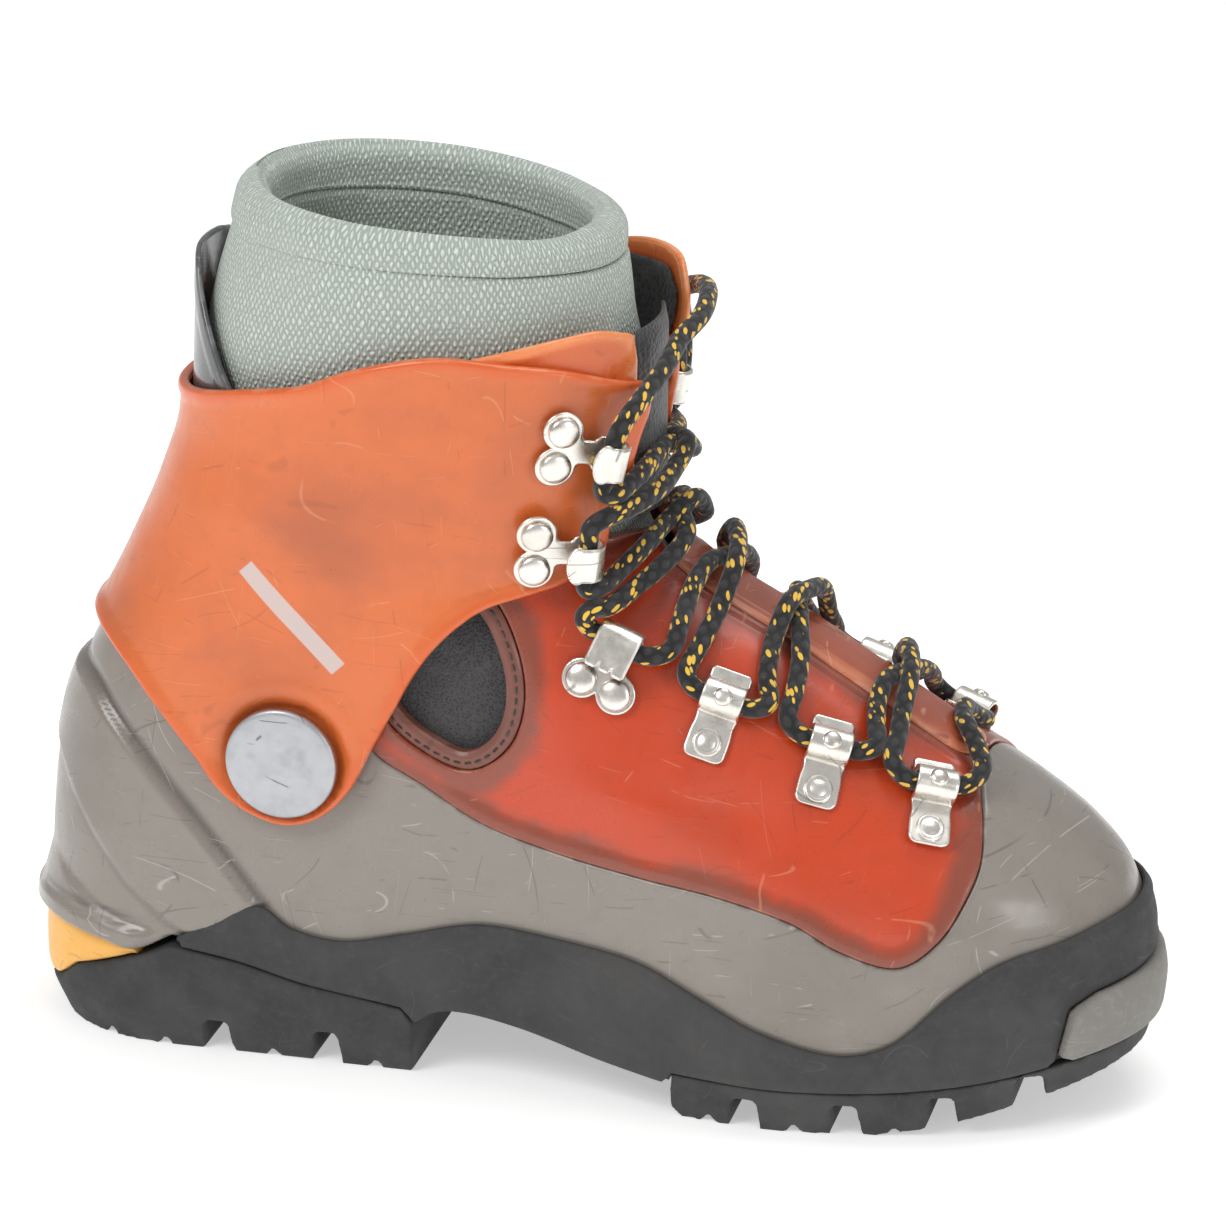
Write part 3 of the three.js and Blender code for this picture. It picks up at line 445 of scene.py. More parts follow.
def side_view(rule):
    """A rule of x and z alone, as a region."""
    return lambda x, y, z: rule(x, z)


def on_side(rule, side):
    """The same, on one side of the boot only."""
    return lambda x, y, z: np.minimum(rule(x, z), y * side)


def finished(piece, body, slot, *nodes):
    """The piece on its body, and in place of its CAD nodes; slot is not used."""
    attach(piece, body)
    if nodes:
        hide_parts(*nodes)
    return piece


# ---- materials ----
def dimmed(colour, factor):
    return tuple(min(1, c * factor) for c in colour)


class Paint:
    """A small builder for one node material."""

    SCUFFS = ((4.0, (1, 1, 3.2)), (5.5, (3.4, 1, 1)), (7.5, (1.5, 1, 2.4)), (5.0, (1, 1, 6)))

    def __init__(self, name, roughness=0.5, metallic=0.0, coat=0.0, sheen=0.0, subsurface=0.0):
        self.material = bpy.data.materials.new(name)
        self.material.use_nodes = True
        self.tree = self.material.node_tree
        self.shader = self.tree.nodes["Principled BSDF"]
        self.shader.inputs["Roughness"].default_value = roughness
        self.shader.inputs["Metallic"].default_value = metallic
        self.shader.inputs["Coat Weight"].default_value = coat
        self.shader.inputs["Coat Roughness"].default_value = 0.16
        self.shader.inputs["Sheen Weight"].default_value = sheen
        if subsurface:
            self.shader.inputs["Subsurface Weight"].default_value = subsurface
            self.shader.inputs["Subsurface Scale"].default_value = 0.004
        self.coords = self.node("ShaderNodeTexCoord")
        self.height = None

    def node(self, kind, **settings):
        made = self.tree.nodes.new(kind)
        for key, value in settings.items():
            setattr(made, key, value)
        return made

    def link(self, source, target):
        if isinstance(source, bpy.types.NodeSocket):
            self.tree.links.new(source, target)
        else:
            target.default_value = source

    def space(self, scale=(1, 1, 1), turn=(0, 0, 0), at=(0, 0, 0), source="Object", kind="POINT"):
        """Texture coordinates, scaled, turned and moved; source is an output's name or a socket."""
        mapping = self.node("ShaderNodeMapping", vector_type=kind)
        vector = self.coords.outputs[source] if isinstance(source, str) else source
        self.link(vector, mapping.inputs["Vector"])
        mapping.inputs["Location"].default_value = at
        mapping.inputs["Rotation"].default_value = turn
        mapping.inputs["Scale"].default_value = scale
        return mapping.outputs[0]

    def noise(self, scale, detail=4.0, rough=0.6, space=None, warp=0.0):
        made = self.node("ShaderNodeTexNoise")
        self.link(space or self.space(), made.inputs["Vector"])
        made.inputs["Scale"].default_value = scale
        made.inputs["Detail"].default_value = detail
        made.inputs["Roughness"].default_value = rough
        made.inputs["Distortion"].default_value = warp
        return made.outputs[0]

    def cells(self, space, scale, spread=1.0):
        """Voronoi cells: their distance and their colour."""
        made = self.node("ShaderNodeTexVoronoi")
        self.link(space, made.inputs["Vector"])
        made.inputs["Scale"].default_value = scale
        made.inputs["Randomness"].default_value = spread
        return made.outputs["Distance"], made.outputs["Color"]

    def stripes(self, space, scale, direction):
        made = self.node("ShaderNodeTexWave", bands_direction=direction)
        self.link(space, made.inputs["Vector"])
        made.inputs["Scale"].default_value = scale
        return made.outputs[1]

    def parts(self, vector):
        """The x, y and z of a vector socket."""
        made = self.node("ShaderNodeSeparateXYZ")
        self.link(vector, made.inputs[0])
        return made.outputs

    def attribute(self, name):
        return self.node("ShaderNodeAttribute", attribute_name=name).outputs["Fac"]

    def scaled(self, value, factor):
        return self.math("MULTIPLY", value, factor)

    def math(self, operation, a, b=0.0, clamp=False):
        made = self.node("ShaderNodeMath", operation=operation, use_clamp=clamp)
        self.link(a, made.inputs[0])
        self.link(b, made.inputs[1])
        return made.outputs[0]

    def band(self, value, low, high, out_low=0.0, out_high=1.0):
        """A smooth step of the value, from out_low at low to out_high at high."""
        made = self.node("ShaderNodeMapRange", interpolation_type="SMOOTHSTEP")
        for place_in, number in enumerate((value, low, high, out_low, out_high)):
            self.link(number, made.inputs[place_in])
        return made.outputs[0]

    def mix(self, amount, first, second):
        made = self.node("ShaderNodeMix", data_type="RGBA")
        self.link(amount, made.inputs[0])
        for value, target in ((first, made.inputs[6]), (second, made.inputs[7])):
            self.link(value if isinstance(value, bpy.types.NodeSocket) else (*value, 1.0), target)
        return made.outputs[2]

    def colour(self, value):
        self.link(value, self.shader.inputs["Base Color"])

    def roughness(self, value):
        self.link(value, self.shader.inputs["Roughness"])

    def bump(self, height, strength, distance):
        made = self.node("ShaderNodeBump")
        made.inputs["Strength"].default_value = strength
        made.inputs["Distance"].default_value = distance
        self.link(height, made.inputs["Height"])
        if self.height is not None:
            self.link(self.height, made.inputs["Normal"])
        self.height = made.outputs[0]
        self.link(self.height, self.shader.inputs["Normal"])

    def scratches(self, seed=0.0, width=0.003):
        """Long thin scuffs: narrow contour lines of warped noises, broken up by a mask, 0 to 1."""
        total = 0.0
        for k, (size, stretch) in enumerate(self.SCUFFS):
            at = (1.3 * k + seed, 2.1 * seed, 0.7 * k)
            field = self.space(stretch, (0.3 * k, 0.9 * k + seed, 0.5 * k), at)
            wave = self.math("PINGPONG", self.noise(size, 0.0, 0.5, field), 0.045)
            line = self.band(wave, width * 0.06, width * (0.22 + 0.1 * k), 1.0, 0.0)
            mask = self.band(self.noise(42 + 17 * k + seed, 2.0), 0.56, 0.61)
            total = self.math("MAXIMUM", self.math("MULTIPLY", line, mask, True), total)
        return total


def moulded(name, base, dark, light, roughness, wear, stain, subsurface=0.0, seed=0.0, edge_colour=None,
            border=3.2, label=None):
    """Moulded shell plastic: mottled colour, scuffs, dirt by the edges, painted shade along the heel's steps
    and grooves, and a faint orange peel.
    """
    p = Paint(name, roughness, coat=0.3, subsurface=subsurface)
    mottle = p.band(p.noise(11 + 3 * seed, 4.0, 0.55, warp=0.3), 0.44, 0.7, 0.0, stain)
    colour = p.mix(mottle, base, dark)
    colour = p.mix(p.band(p.noise(160, 5.0, 0.7), 0.46, 0.75, 0.0, 0.2), colour, dark)
    # painted shade: darkens the colour along the steps and grooves of the heel panels and ledge
    crease_shade = p.band(p.attribute("crease_shade"), 0.0, 1.0, 0.0, 0.75)
    colour = p.mix(crease_shade, colour, dimmed(dark, 0.45))
    edge = p.attribute("edge")
    if edge_colour:
        wander = p.scaled(p.math("SUBTRACT", p.noise(38, 3.0), 0.5), border * 1.6)
        rim = p.band(p.math("ADD", edge, wander), border * 0.25, border, 0.8, 0.0)
        colour = p.mix(rim, colour, edge_colour)
    scuff = p.scratches(seed)
    colour = p.mix(p.scaled(scuff, wear), colour, light)
    dark_scuff = p.scratches(seed + 0.37, 0.006)
    colour = p.mix(p.scaled(dark_scuff, wear), colour, dimmed(dark, 0.5))
    if label:
        colour = label(p, colour)
    worn = p.math("MULTIPLY", p.band(edge, 0.0, 1.1, 1.0, 0.0), p.band(p.noise(120, 3.0), 0.45, 0.62), True)
    p.colour(p.mix(p.scaled(worn, wear), colour, light))
    rough = p.band(p.noise(60, 5.0, 0.7), 0.3, 0.7, roughness - 0.07, roughness + 0.14)
    p.roughness(p.math("ADD", rough, p.scaled(scuff, 0.2), True))
    p.bump(p.noise(520, 3.0, 0.6), 0.12, 0.0003)
    p.bump(scuff, -0.3, 0.0003)
    return p.material


def rubber(name, base, dust, seed=0.0):
    """Dusty black sole rubber."""
    p = Paint(name, 0.75)
    dirt = p.band(p.noise(20 + seed, 6.0, 0.6), 0.46, 0.76, 0.0, 0.6)
    grain = p.band(p.noise(420, 4.0, 0.8), 0.45, 0.8, 0.0, 0.4)
    colour = p.mix(p.math("MAXIMUM", dirt, grain), base, dust)
    p.colour(p.mix(p.scaled(p.scratches(seed), 0.15), colour, dimmed(dust, 2.0)))
    p.roughness(p.band(p.noise(90, 4.0), 0.3, 0.7, 0.62, 0.88))
    p.bump(p.noise(900, 4.0, 0.75), 0.4, 0.0003)
    return p.material


def knit(name, base, shade):
    """A coarse knit on a padded lining, laid out by the piece's own UV."""
    p = Paint(name, 0.95, sheen=0.35)
    p.shader.inputs["Sheen Roughness"].default_value = 0.6
    wobble = p.node("ShaderNodeTexNoise")
    p.link(p.space(source="UV"), wobble.inputs["Vector"])
    wobble.inputs["Scale"].default_value = 260.0
    shrink = p.node("ShaderNodeVectorMath", operation="SCALE")
    p.link(wobble.outputs["Color"], shrink.inputs[0])
    shrink.inputs["Scale"].default_value = 0.0026
    warp = p.node("ShaderNodeVectorMath", operation="ADD")
    p.link(p.space(source="UV"), warp.inputs[0])
    p.link(shrink.outputs[0], warp.inputs[1])
    leaning = [p.space(turn=(0, 0, turn), source=warp.outputs[0]) for turn in (0.75, -0.75)]
    stitch = p.math("MULTIPLY", *(p.stripes(rows, 130.2, "Y") for rows in leaning))
    colour = p.mix(p.band(stitch, 0.0, 0.5), shade, base)
    dirt = p.band(p.noise(24, 5.0, 0.65), 0.48, 0.8, 0.0, 0.35)
    p.colour(p.mix(dirt, colour, dimmed(base, 0.62)))
    p.bump(p.math("ADD", stitch, p.scaled(p.noise(900, 3.0, 0.8), 0.5)), 0.8, 0.0011)
    return p.material


def cloth(name, base, light, scale=1300.0, roughness=0.85):
    """A dense woven or foamed black cloth."""
    p = Paint(name, roughness, sheen=0.2)
    dots = p.cells(p.space(), scale)[0]
    dust = p.band(p.noise(45, 5.0, 0.7), 0.48, 0.75, 0.0, 0.6)
    p.colour(p.mix(dust, p.mix(p.band(dots, 0.1, 0.6), base, light), dimmed(light, 2.5)))
    p.bump(dots, 0.6, 0.0006)
    return p.material


def metal(name, base, dark, roughness, grain=0.04):
    """Plated metal, a little smudged and scratched."""
    p = Paint(name, roughness, metallic=1.0)
    smudge = p.band(p.noise(110, 4.0, 0.6), 0.46, 0.75, 0.0, 0.6)
    scuff = p.scratches(0.4, 0.005)
    p.colour(p.mix(p.scaled(scuff, 0.7), p.mix(smudge, base, dark), dimmed(dark, 0.4)))
    rough = p.band(p.noise(240, 5.0, 0.7), 0.35, 0.8, roughness - 0.04, roughness + 0.16)
    p.roughness(p.math("ADD", rough, p.scaled(scuff, 0.2), True))
    p.bump(scuff, -0.3, 0.0002)
    p.bump(p.noise(300, 2.0), grain, 0.0002)
    return p.material


def braid(name, base, fleck, dark):
    """Round braided cord, laid out by UV: u along the cord in metres, v once round it."""
    p = Paint(name, 0.85, sheen=0.3)
    u, v = p.parts(p.coords.outputs["UV"])[:2]
    waves = []
    for twist in (1.2566, -1.2566):
        skew = p.node("ShaderNodeCombineXYZ")
        p.link(p.math("ADD", p.scaled(u, 62.0), p.scaled(v, twist)), skew.inputs[0])
        waves.append(p.stripes(skew.outputs[0], 1.0, "X"))
    weave = p.math("MULTIPLY", *waves)
    round_it = p.space((1, 0.0165, 1), (0, 0, 0.5), source="UV")
    near, tint = p.cells(p.space((330, 700, 1), source=round_it), 1.0, 0.55)
    picked = p.math("GREATER_THAN", p.parts(tint)[0], 0.66)
    tick = p.math("MULTIPLY", picked, p.band(near, 0.42, 0.5, 1.0, 0.0))
    dust = p.band(p.noise(60, 4.0, 0.7), 0.45, 0.75, 0.0, 0.35)
    colour = p.mix(dust, p.mix(p.band(weave, 0.0, 0.5), dark, base), dimmed(base, 2.2))
    p.colour(p.mix(tick, colour, fleck))
    p.bump(weave, 0.6, 0.0005)
    return p.material


def worn_bar(p, colour):
    """A plain pale bar, low on the cuff's outer side."""
    middle = tuple(place((89.5, 0, 134)))
    x, y, z = p.parts(p.space(turn=(0, math.radians(47), 0), at=middle, kind="TEXTURE"))
    along = p.band(p.math("ABSOLUTE", x), 0.0185, 0.019, 1.0, 0.0)
    across = p.band(p.math("ABSOLUTE", z), 0.0024, 0.0028, 1.0, 0.0)
    outer = p.math("LESS_THAN", y, -0.01)
    rubbed = p.band(p.noise(75, 2.0, 0.5), 0.33, 0.37)
    mask = p.math("MULTIPLY", p.math("MULTIPLY", along, across), p.math("MULTIPLY", outer, rubbed))
    return p.mix(p.scaled(mask, 0.85), colour, (0.62, 0.56, 0.54))


GREY = moulded("grey_shell", (0.27, 0.242, 0.212), (0.17, 0.147, 0.122), (0.6, 0.58, 0.55), 0.3,
               wear=0.45, stain=0.5)
ORANGE = moulded("orange_cuff", (0.74, 0.165, 0.038), (0.42, 0.1, 0.034), (0.9, 0.5, 0.3), 0.33,
                 wear=0.22, stain=0.75, subsurface=0.03, seed=0.3, edge_colour=(0.72, 0.12, 0.02),
                 border=4.0, label=worn_bar)
RED = moulded("orange_upper", (0.6, 0.058, 0.012), (0.36, 0.06, 0.025), (0.85, 0.4, 0.25), 0.3,
              wear=0.25, stain=0.8, subsurface=0.03, seed=0.6, edge_colour=(0.2, 0.066, 0.042), border=9.0)
FLAP = moulded("orange_trim", (0.78, 0.17, 0.04), (0.52, 0.1, 0.03), (0.92, 0.55, 0.35), 0.26,
               wear=0.3, stain=0.35, subsurface=0.12, seed=0.1, edge_colour=(0.9, 0.3, 0.1))
STRIP = moulded("tongue_strip", (0.42, 0.095, 0.045), (0.22, 0.06, 0.035), (0.8, 0.42, 0.28), 0.36,
                wear=0.5, stain=0.7, seed=0.9, edge_colour=(0.66, 0.22, 0.11))
TRIM = moulded("trim_brown", (0.2, 0.07, 0.048), (0.1, 0.04, 0.03), (0.42, 0.22, 0.15), 0.55,
               wear=0.3, stain=0.5, seed=0.5)
SPOILER = moulded("grey_spoiler", (0.085, 0.088, 0.09), (0.04, 0.042, 0.043), (0.5, 0.5, 0.5), 0.14,
                  wear=0.25, stain=0.35, seed=0.2)
YELLOW = moulded("yellow_wedge", (0.95, 0.5, 0.1), (0.72, 0.3, 0.06), (0.98, 0.78, 0.45), 0.55,
                 wear=0.3, stain=0.4, seed=0.8)
TREAD = rubber("sole_rubber", (0.04, 0.04, 0.041), (0.085, 0.083, 0.08))
RAND = rubber("rand_rubber", (0.043, 0.043, 0.044), (0.095, 0.092, 0.088), 3.0)
WELT = rubber("welt_rubber", (0.23, 0.22, 0.2), (0.38, 0.36, 0.335), 5.0)
KNIT = knit("liner_knit", (0.816, 0.912, 0.828), (0.36, 0.42, 0.37))
BLACK = cloth("black_foam", (0.02, 0.02, 0.021), (0.06, 0.058, 0.06))
LINING = cloth("black_lining", (0.02, 0.02, 0.021), (0.05, 0.05, 0.052), 700.0, 0.6)
FELT = cloth("footbed_felt", (0.07, 0.07, 0.072), (0.17, 0.17, 0.17), 900.0)
NICKEL = metal("hook_nickel", (0.86, 0.83, 0.77), (0.6, 0.57, 0.51), 0.3)
SILVER = metal("pivot_silver", (0.5, 0.51, 0.53), (0.36, 0.37, 0.39), 0.42, 0.14)
BRASS = metal("pivot_brass", (0.7, 0.52, 0.27), (0.4, 0.28, 0.13), 0.35)
LACE = braid("lace_cord", (0.028, 0.028, 0.03), (0.85, 0.52, 0.06), (0.006, 0.006, 0.007))
THREAD = cloth("stitching", (0.02, 0.018, 0.016), (0.07, 0.05, 0.04), 900.0)

# ---- side-view lines, from the back forwards ----
TREAD_LINE = [(-12, 9.5), (2, 9.5), (12, 13), (20, 20), (31, 24.5), (41, 28.5), (51, 32.6)]
GROOVE_LINE = [(51, 32.6), (71, 29.5), (89, 25), (118, 21)]
ARCH_LINE = [(122, 17), (128, 21), (136, 22), (152, 20), (175, 14.5), (196, 11)]
FORE_LINE = [(197, 14.5), (229, 14), (255, 15), (276, 17), (299, 20.5), (322, 25), (345, 28)]
LEDGE_BOTTOM = [(-12, 30.5), (0, 31), (10, 33.4), (20, 33), (31, 32), (41, 30.5)]
BASE_LINE = [(51, 34.5), (80, 31), (118, 28), (160, 24), (200, 21), (260, 20), (300, 24), (330, 33),
             (345, 37)]
RAND_TOP = [(51, 34.2), (77, 47), (86, 41.5), (100, 39), (118, 43), (141, 49), (164, 48), (188, 45),
            (205, 38), (222, 30.5), (244, 25.5), (257, 29), (273, 44), (285, 52), (300, 56), (311, 59),
            (330, 61), (345, 62)]
SEAM_LINE = [(64, 134), (84, 122), (98, 109), (111, 94), (124, 87), (141, 78), (164, 72), (187, 69),
             (210, 67), (230, 62), (243, 55), (259, 51), (269, 58), (275, 68), (278, 77), (277, 86),
             (274, 94), (271, 104), (271, 112)]
UPPER_TOP = [(271, 125), (215, 165), (186, 157), (106, 157), (85, 147), (66, 136)]
WINDOW = [(128, 143), (139, 138), (146, 126), (148, 114), (145, 104), (137, 98), (127, 101), (118, 108),
          (113, 120), (118, 136)]
CUFF_BOTTOM = [(8, 117), (20, 119), (28, 119), (40, 113), (50, 103), (59, 92), (67, 82), (75, 76),
               (86, 73), (96, 76), (105, 85), (111, 97), (118, 110), (124, 121), (131, 130), (141, 138),
               (152, 142), (162, 146), (168, 151)]
CUFF_FRONT = [(168, 151), (170, 155), (171, 163), (174, 174), (176, 184), (178, 194), (177, 200)]
CUFF_TOP = [(177, 200), (163, 207), (149, 210), (131, 212), (109, 207), (95, 201), (79, 197), (55, 190),
            (30, 186), (8, 186)]
HEEL_PANEL = [(-12, 105), (14, 105), (25, 103), (32, 97), (45, 84), (60, 67), (76, 47), (64, 39), (51, 34.6)]


def loop(points, fine=6):
    """A closed smooth outline through the points."""
    p = list(points)
    dense = through(p[-2:] + p + p[:2], fine)
    return dense[2 * fine : -2 * fine]


window_at = distance_to(loop(WINDOW))

# ---- shells ----
LEDGE = 4.4  # how far the heel ledge stands out
ledge_top = through([(42, 36.5), (31, 41), (20, 48), (8, 57), (-12, 58)])
ledge_at = distance_to(joined([(-12, 20), (41, 20), (43, 36.5)], ledge_top))
panel_at = distance_to(joined(through(HEEL_PANEL[1:7]), HEEL_PANEL[7:], [(-12, 20), (-12, 105)]))
inner_panel_at = distance_to([(-12, 93), (4, 90), (15, 79), (27, 63), (39, 49), (50, 40), (57, 36), (51, 30),
                              (-12, 20)])
shell_at = distance_to(joined(through(LEDGE_BOTTOM + [(51, 34.8)]), BASE_LINE[1:], [(345, 112)],
                              through(SEAM_LINE)[::-1], [(-12, 134)]))


def shell_out(x, y, z, depth):
    """The grey shell's face: a raised heel panel with a sunk middle, and a ledge for a strap-on binding."""
    bottom = height_on(LEDGE_BOTTOM, x)
    lip = LEDGE * (1 - ramp(x, 38, 51)) * (1 - ramp(z, bottom + 4.6, bottom + 6.6))
    slope = 0.8 * LEDGE * np.clip((55 - z) / (50 - bottom), 0, 1) * ramp(ledge_at(x, z), -1, 4)
    panel = 2.2 * ramp(panel_at(x, z), -1.3, 1.3) - 1.3 * ramp(inner_panel_at(x, z), -1.5, 1.5)
    return np.maximum(lip, np.maximum(slope, panel)) - 0.6 * bump_at(panel_at(x, z), -2.2, 1.5)


def heel_shade_lines(x, y, z):
    """Painted shade: dark lines along the ledge and round the two panels, where their steps and grooves lie
    in shade.
    """
    lip_line = 0.7 * bump_at(z, height_on(LEDGE_BOTTOM, x) + 8, 1.0) * (1 - ramp(x, 34, 48))
    panel_line = 0.8 * bump_at(panel_at(x, z), -1.9, 1.6)
    return np.maximum(panel_line, np.maximum(0.5 * bump_at(inner_panel_at(x, z), 1.4, 1.4), lip_line))


lower = shell_piece("lower_shell_looks", side_view(shell_at), shell_out, -SHELL_WALL, 0.9, GREY, 16, 142, 1.1)
spots = np.empty(len(lower.data.vertices) * 3)
lower.data.vertices.foreach_get("co", spots)
# painted shade along the heel's ledge and panel steps, kept as a number on each vertex for the grey shell's
# colour
marked(lower.data, "crease_shade", heel_shade_lines(*(spots.reshape(-1, 3) * 1000 - SHIFT).T))
finished(lower, "lower", "grey_shell", "lower_shell")

upper_at = distance_to(joined(through(SEAM_LINE), through(UPPER_TOP[:3]), UPPER_TOP[2:]))


def upper_region(x, y, z):
    throat = np.maximum(np.abs(y) - 9, np.maximum(160 - x, x - 268))
    window = -(window_at(x, z) + 5.3)
    return np.minimum(np.minimum(upper_at(x, z) - GAP, throat), np.minimum(window, x - 64))


def upper_out(x, y, z, depth):
    """A thicker rolled border along the seam, the throat and the window."""
    return 0.75 * (1 - ramp(depth, 3.2, 5.2))


upper = shell_piece("instep_upper_looks", upper_region, upper_out, -SHELL_WALL, 0.9, RED, 44, 162, 1.5)
finished(upper, "lower", "orange_upper", "instep_upper")

cuff_at = distance_to(joined(through(CUFF_BOTTOM), through(CUFF_FRONT)[1:], through(CUFF_TOP)[1:]))


def cuff_in(x, y, z, depth):
    """The cuff's inner face, closer to the shell at the back."""
    return CUFF_CLEARANCE - 1.4 * (1 - ramp(x, 20, 60))


def cuff_out(x, y, z, depth):
    """A rolled border, a round pocket for the pivot cap and a raised ring about it."""
    reach = np.hypot(x - PIVOT_X, z - PIVOT_Z)
    pocket = 1.9 * (1 - ramp(reach, 16.0, 17.8))
    rib = 0.8 * (1 - ramp(depth, 2.6, 4.4))
    return cuff_in(x, y, z, depth) + CUFF_WALL - 1.0 - pocket + 0.9 * bump_at(reach, 21.5, 3.0) + rib


cuff = shell_piece("cuff_looks", side_view(cuff_at), cuff_out, cuff_in, 1.2, ORANGE, 66, 218, 1.6)
finished(cuff, "cuff", "orange_cuff", "cuff")


def flare(x, z):
    """How far the free inner flap leans away from the liner towards its front corner."""
    return 6.5 * ramp(z, 182, 212) * ramp(x, 156, 175)


WING_FRONT = [(150, 163), (168, 162), (175, 165), (176.5, 180), (177.2, 205)]
WING_TOP = {"outer": [(176.5, 213), (170, 216), (162, 215.4), (141, 211)],
            "inner": [(177, 214), (174, 222.5), (168, 224.6), (160, 223.5), (141, 214)]}
for side_name, side in SIDES:
    wing_top = through(WING_TOP[side_name])
    wing_at = distance_to(joined([(128, 168)], through(WING_FRONT), wing_top, [(128, 205)]))
    spread = 1.0 if side > 0 else 0.0
    wing = shell_piece("flap_" + side_name, lambda x, y, z: np.minimum(wing_at(x, z), y * side - 1),
                       lambda x, y, z, d: 2.1 + 0.5 * (1 - ramp(d, 2.4, 4.4)) + spread * flare(x, z),
                       lambda x, y, z, d: 0.4 + spread * flare(x, z), 1.0, FLAP, 156, 232, 1.0)
    finished(wing, "cuff", "orange_trim", "cuff_wing_" + side_name)

lining_at = distance_to([(156, 188), (174.8, 188), (174.8, 213), (172, 219), (156, 221)])
lining = shell_piece("flap_lining_looks", lambda x, y, z: np.minimum(lining_at(x, z), y - 5),
                     lambda x, y, z, d: 0.1 + flare(x, z), lambda x, y, z, d: -1.5 + flare(x, z), 0.5,
                     LINING, 184, 224, 1.2)
finished(lining, "cuff", "black_lining", "flap_lining")

spoiler_line = [(30, 160), (76, 166), (76, 186), (68, 200), (60, 218), (56, 227), (30, 229)]
spoiler = shell_piece("rear_spoiler_looks", side_view(distance_to(through(spoiler_line, 6))),
                      lambda x, y, z, d: 1.7 + 0.5 * (1 - ramp(d, 3, 5)), 0.4, 0.8, SPOILER, 156, 234, 1.4)
finished(spoiler, "cuff", "grey_spoiler", "rear_spoiler")

# ---- window trims with their stitching, and the foam behind them ----
def trim_line(x, z):
    """A ring, 5 mm wide, round the window."""
    return np.minimum(window_at(x, z) + 5, -window_at(x, z))


def trim_out(x, y, z, depth):
    """A rounded face with a groove for the stitches."""
    return 0.85 * ramp(depth, 0.2, 1.6) + 0.1 - 0.35 * bump_at(window_at(x, z), -3.2, 0.5)


for side_name, side in SIDES:
    trim = shell_piece("window_trim_looks_" + side_name, on_side(trim_line, side), trim_out, -SHELL_WALL,
                       0.45, TRIM, 88, 152, 0.8)
    finished(trim, "lower", "orange_trim", "window_trim_" + side_name)
    pad = shell_piece("ankle_pad_looks_" + side_name, on_side(lambda x, z: window_at(x, z) + 3, side),
                      lambda x, y, z, d: -3.5 + 1.1 * ramp(window_at(x, z), 0.5, 9), -5.2, 0.4,
                      BLACK, 88, 152, 1.4)
    finished(pad, "lower", "black_foam", "ankle_pad_" + side_name)


# ---- stitching round the windows ----
def resampled(path, step):
    """Points a fixed step apart along a closed outline."""
    p = np.vstack([path, path[:1]])
    along = np.concatenate([[0], np.cumsum(np.linalg.norm(np.diff(p, axis=0), axis=1))])
    s = np.linspace(0, along[-1], int(round(along[-1] / step)), endpoint=False)
    return np.stack([np.interp(s, along, p[:, k]) for k in range(p.shape[1])], 1)


def outline_at(path, grow):
    """A window's outline, moved outwards."""
    p = resampled(path, 1.0)
    d = np.roll(p, -1, axis=0) - np.roll(p, 1, axis=0)
    out = np.stack([d[:, 1], -d[:, 0]], 1) / np.linalg.norm(d, axis=1)[:, None]
    if window_at(*(p + out).T).mean() > 0:
        out = -out
    return p + out * grow


THREAD_RING = [(0.0, 0.34), (0.34, 0.1), (0.0, -0.3), (-0.34, 0.1)]
THREAD_ALONG = [(-0.12, 0.35), (0.25, 1.0), (0.85, 1.0), (1.22, 0.35)]  # place and thickness, as shares


def stitch(a, b, n):
    """One stitch from a to b on a surface that faces n."""
    sideways = np.cross(b - a, n)
    sideways /= np.linalg.norm(sideways)
    points = [a + (b - a) * t + (sideways * u + n * v) * fat
              for t, fat in THREAD_ALONG for u, v in THREAD_RING]
    return points, ring_faces(4, 4) + ring_caps(4, 4)


for side_name, side in SIDES:
    dots = resampled(outline_at(loop(WINDOW), 3.1), 1.55)
    turns = np.array([float(turn_at(x, z, side)) for x, z in dots])
    spine = shell_lift(turns, dots[:, 1], np.full(len(dots), 0.95))
    outward = normal(turns, dots[:, 1])
    stitches = [stitch(spine[k], spine[k + 1], outward[k]) for k in range(0, len(spine) - 1, 2)]
    finished(make("window_stitches_" + side_name, *gathered(stitches), THREAD), "lower", "black_lining")

# ---- the strip over the throat, and the cloth under it ----
def across_region(x0, x1, half, rounding, low, high):
    """A band over the middle of the boot from x0 to x1, with rounded front corners."""
    def region(x, y, z):
        dx = np.maximum(x - (x1 - rounding), 0)
        dy = np.maximum(np.abs(y) - (half - rounding), 0)
        corner = rounding - np.hypot(dx, dy)
        d = np.minimum(np.where((dx > 0) & (dy > 0), corner, 1e3), np.minimum(x1 - x, half - np.abs(y)))
        return np.minimum(np.minimum(d, x - x0), np.minimum(z - low, high - z))

    return region


strip = shell_piece("tongue_strip_looks", across_region(187, 271.5, 11, 8, 92, 168),
                    lambda x, y, z, d: 1.6 + 0.8 * ramp(d, 1.2, 3.2), 0.4, 0.6,
                    STRIP, 88, 172, 1.0, start=0.02)
finished(strip, "lower", "grey_shell", "shell_tongue")
gusset = shell_piece("tongue_gusset_looks", across_region(188, 278, 20, 10, 80, 150), -3.5, -5.2, 0.5,
                     BLACK, 76, 156, 1.6, start=0.02)
finished(gusset, "lower", "black_foam", "tongue_gusset")
front_tongue = shell_piece("tongue_upper_looks", across_region(150, 220, 15, 4, 161, 213),
                           lambda x, y, z, d: 1.4 + 0.7 * ramp(d, 0.5, 5), 0.3, 0.6,
                           LINING, 156, 218, 1.0, start=0.02)
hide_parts("tongue_upper")
place((180, 0, 160))
place((180, 0, 176))
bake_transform(front_tongue)

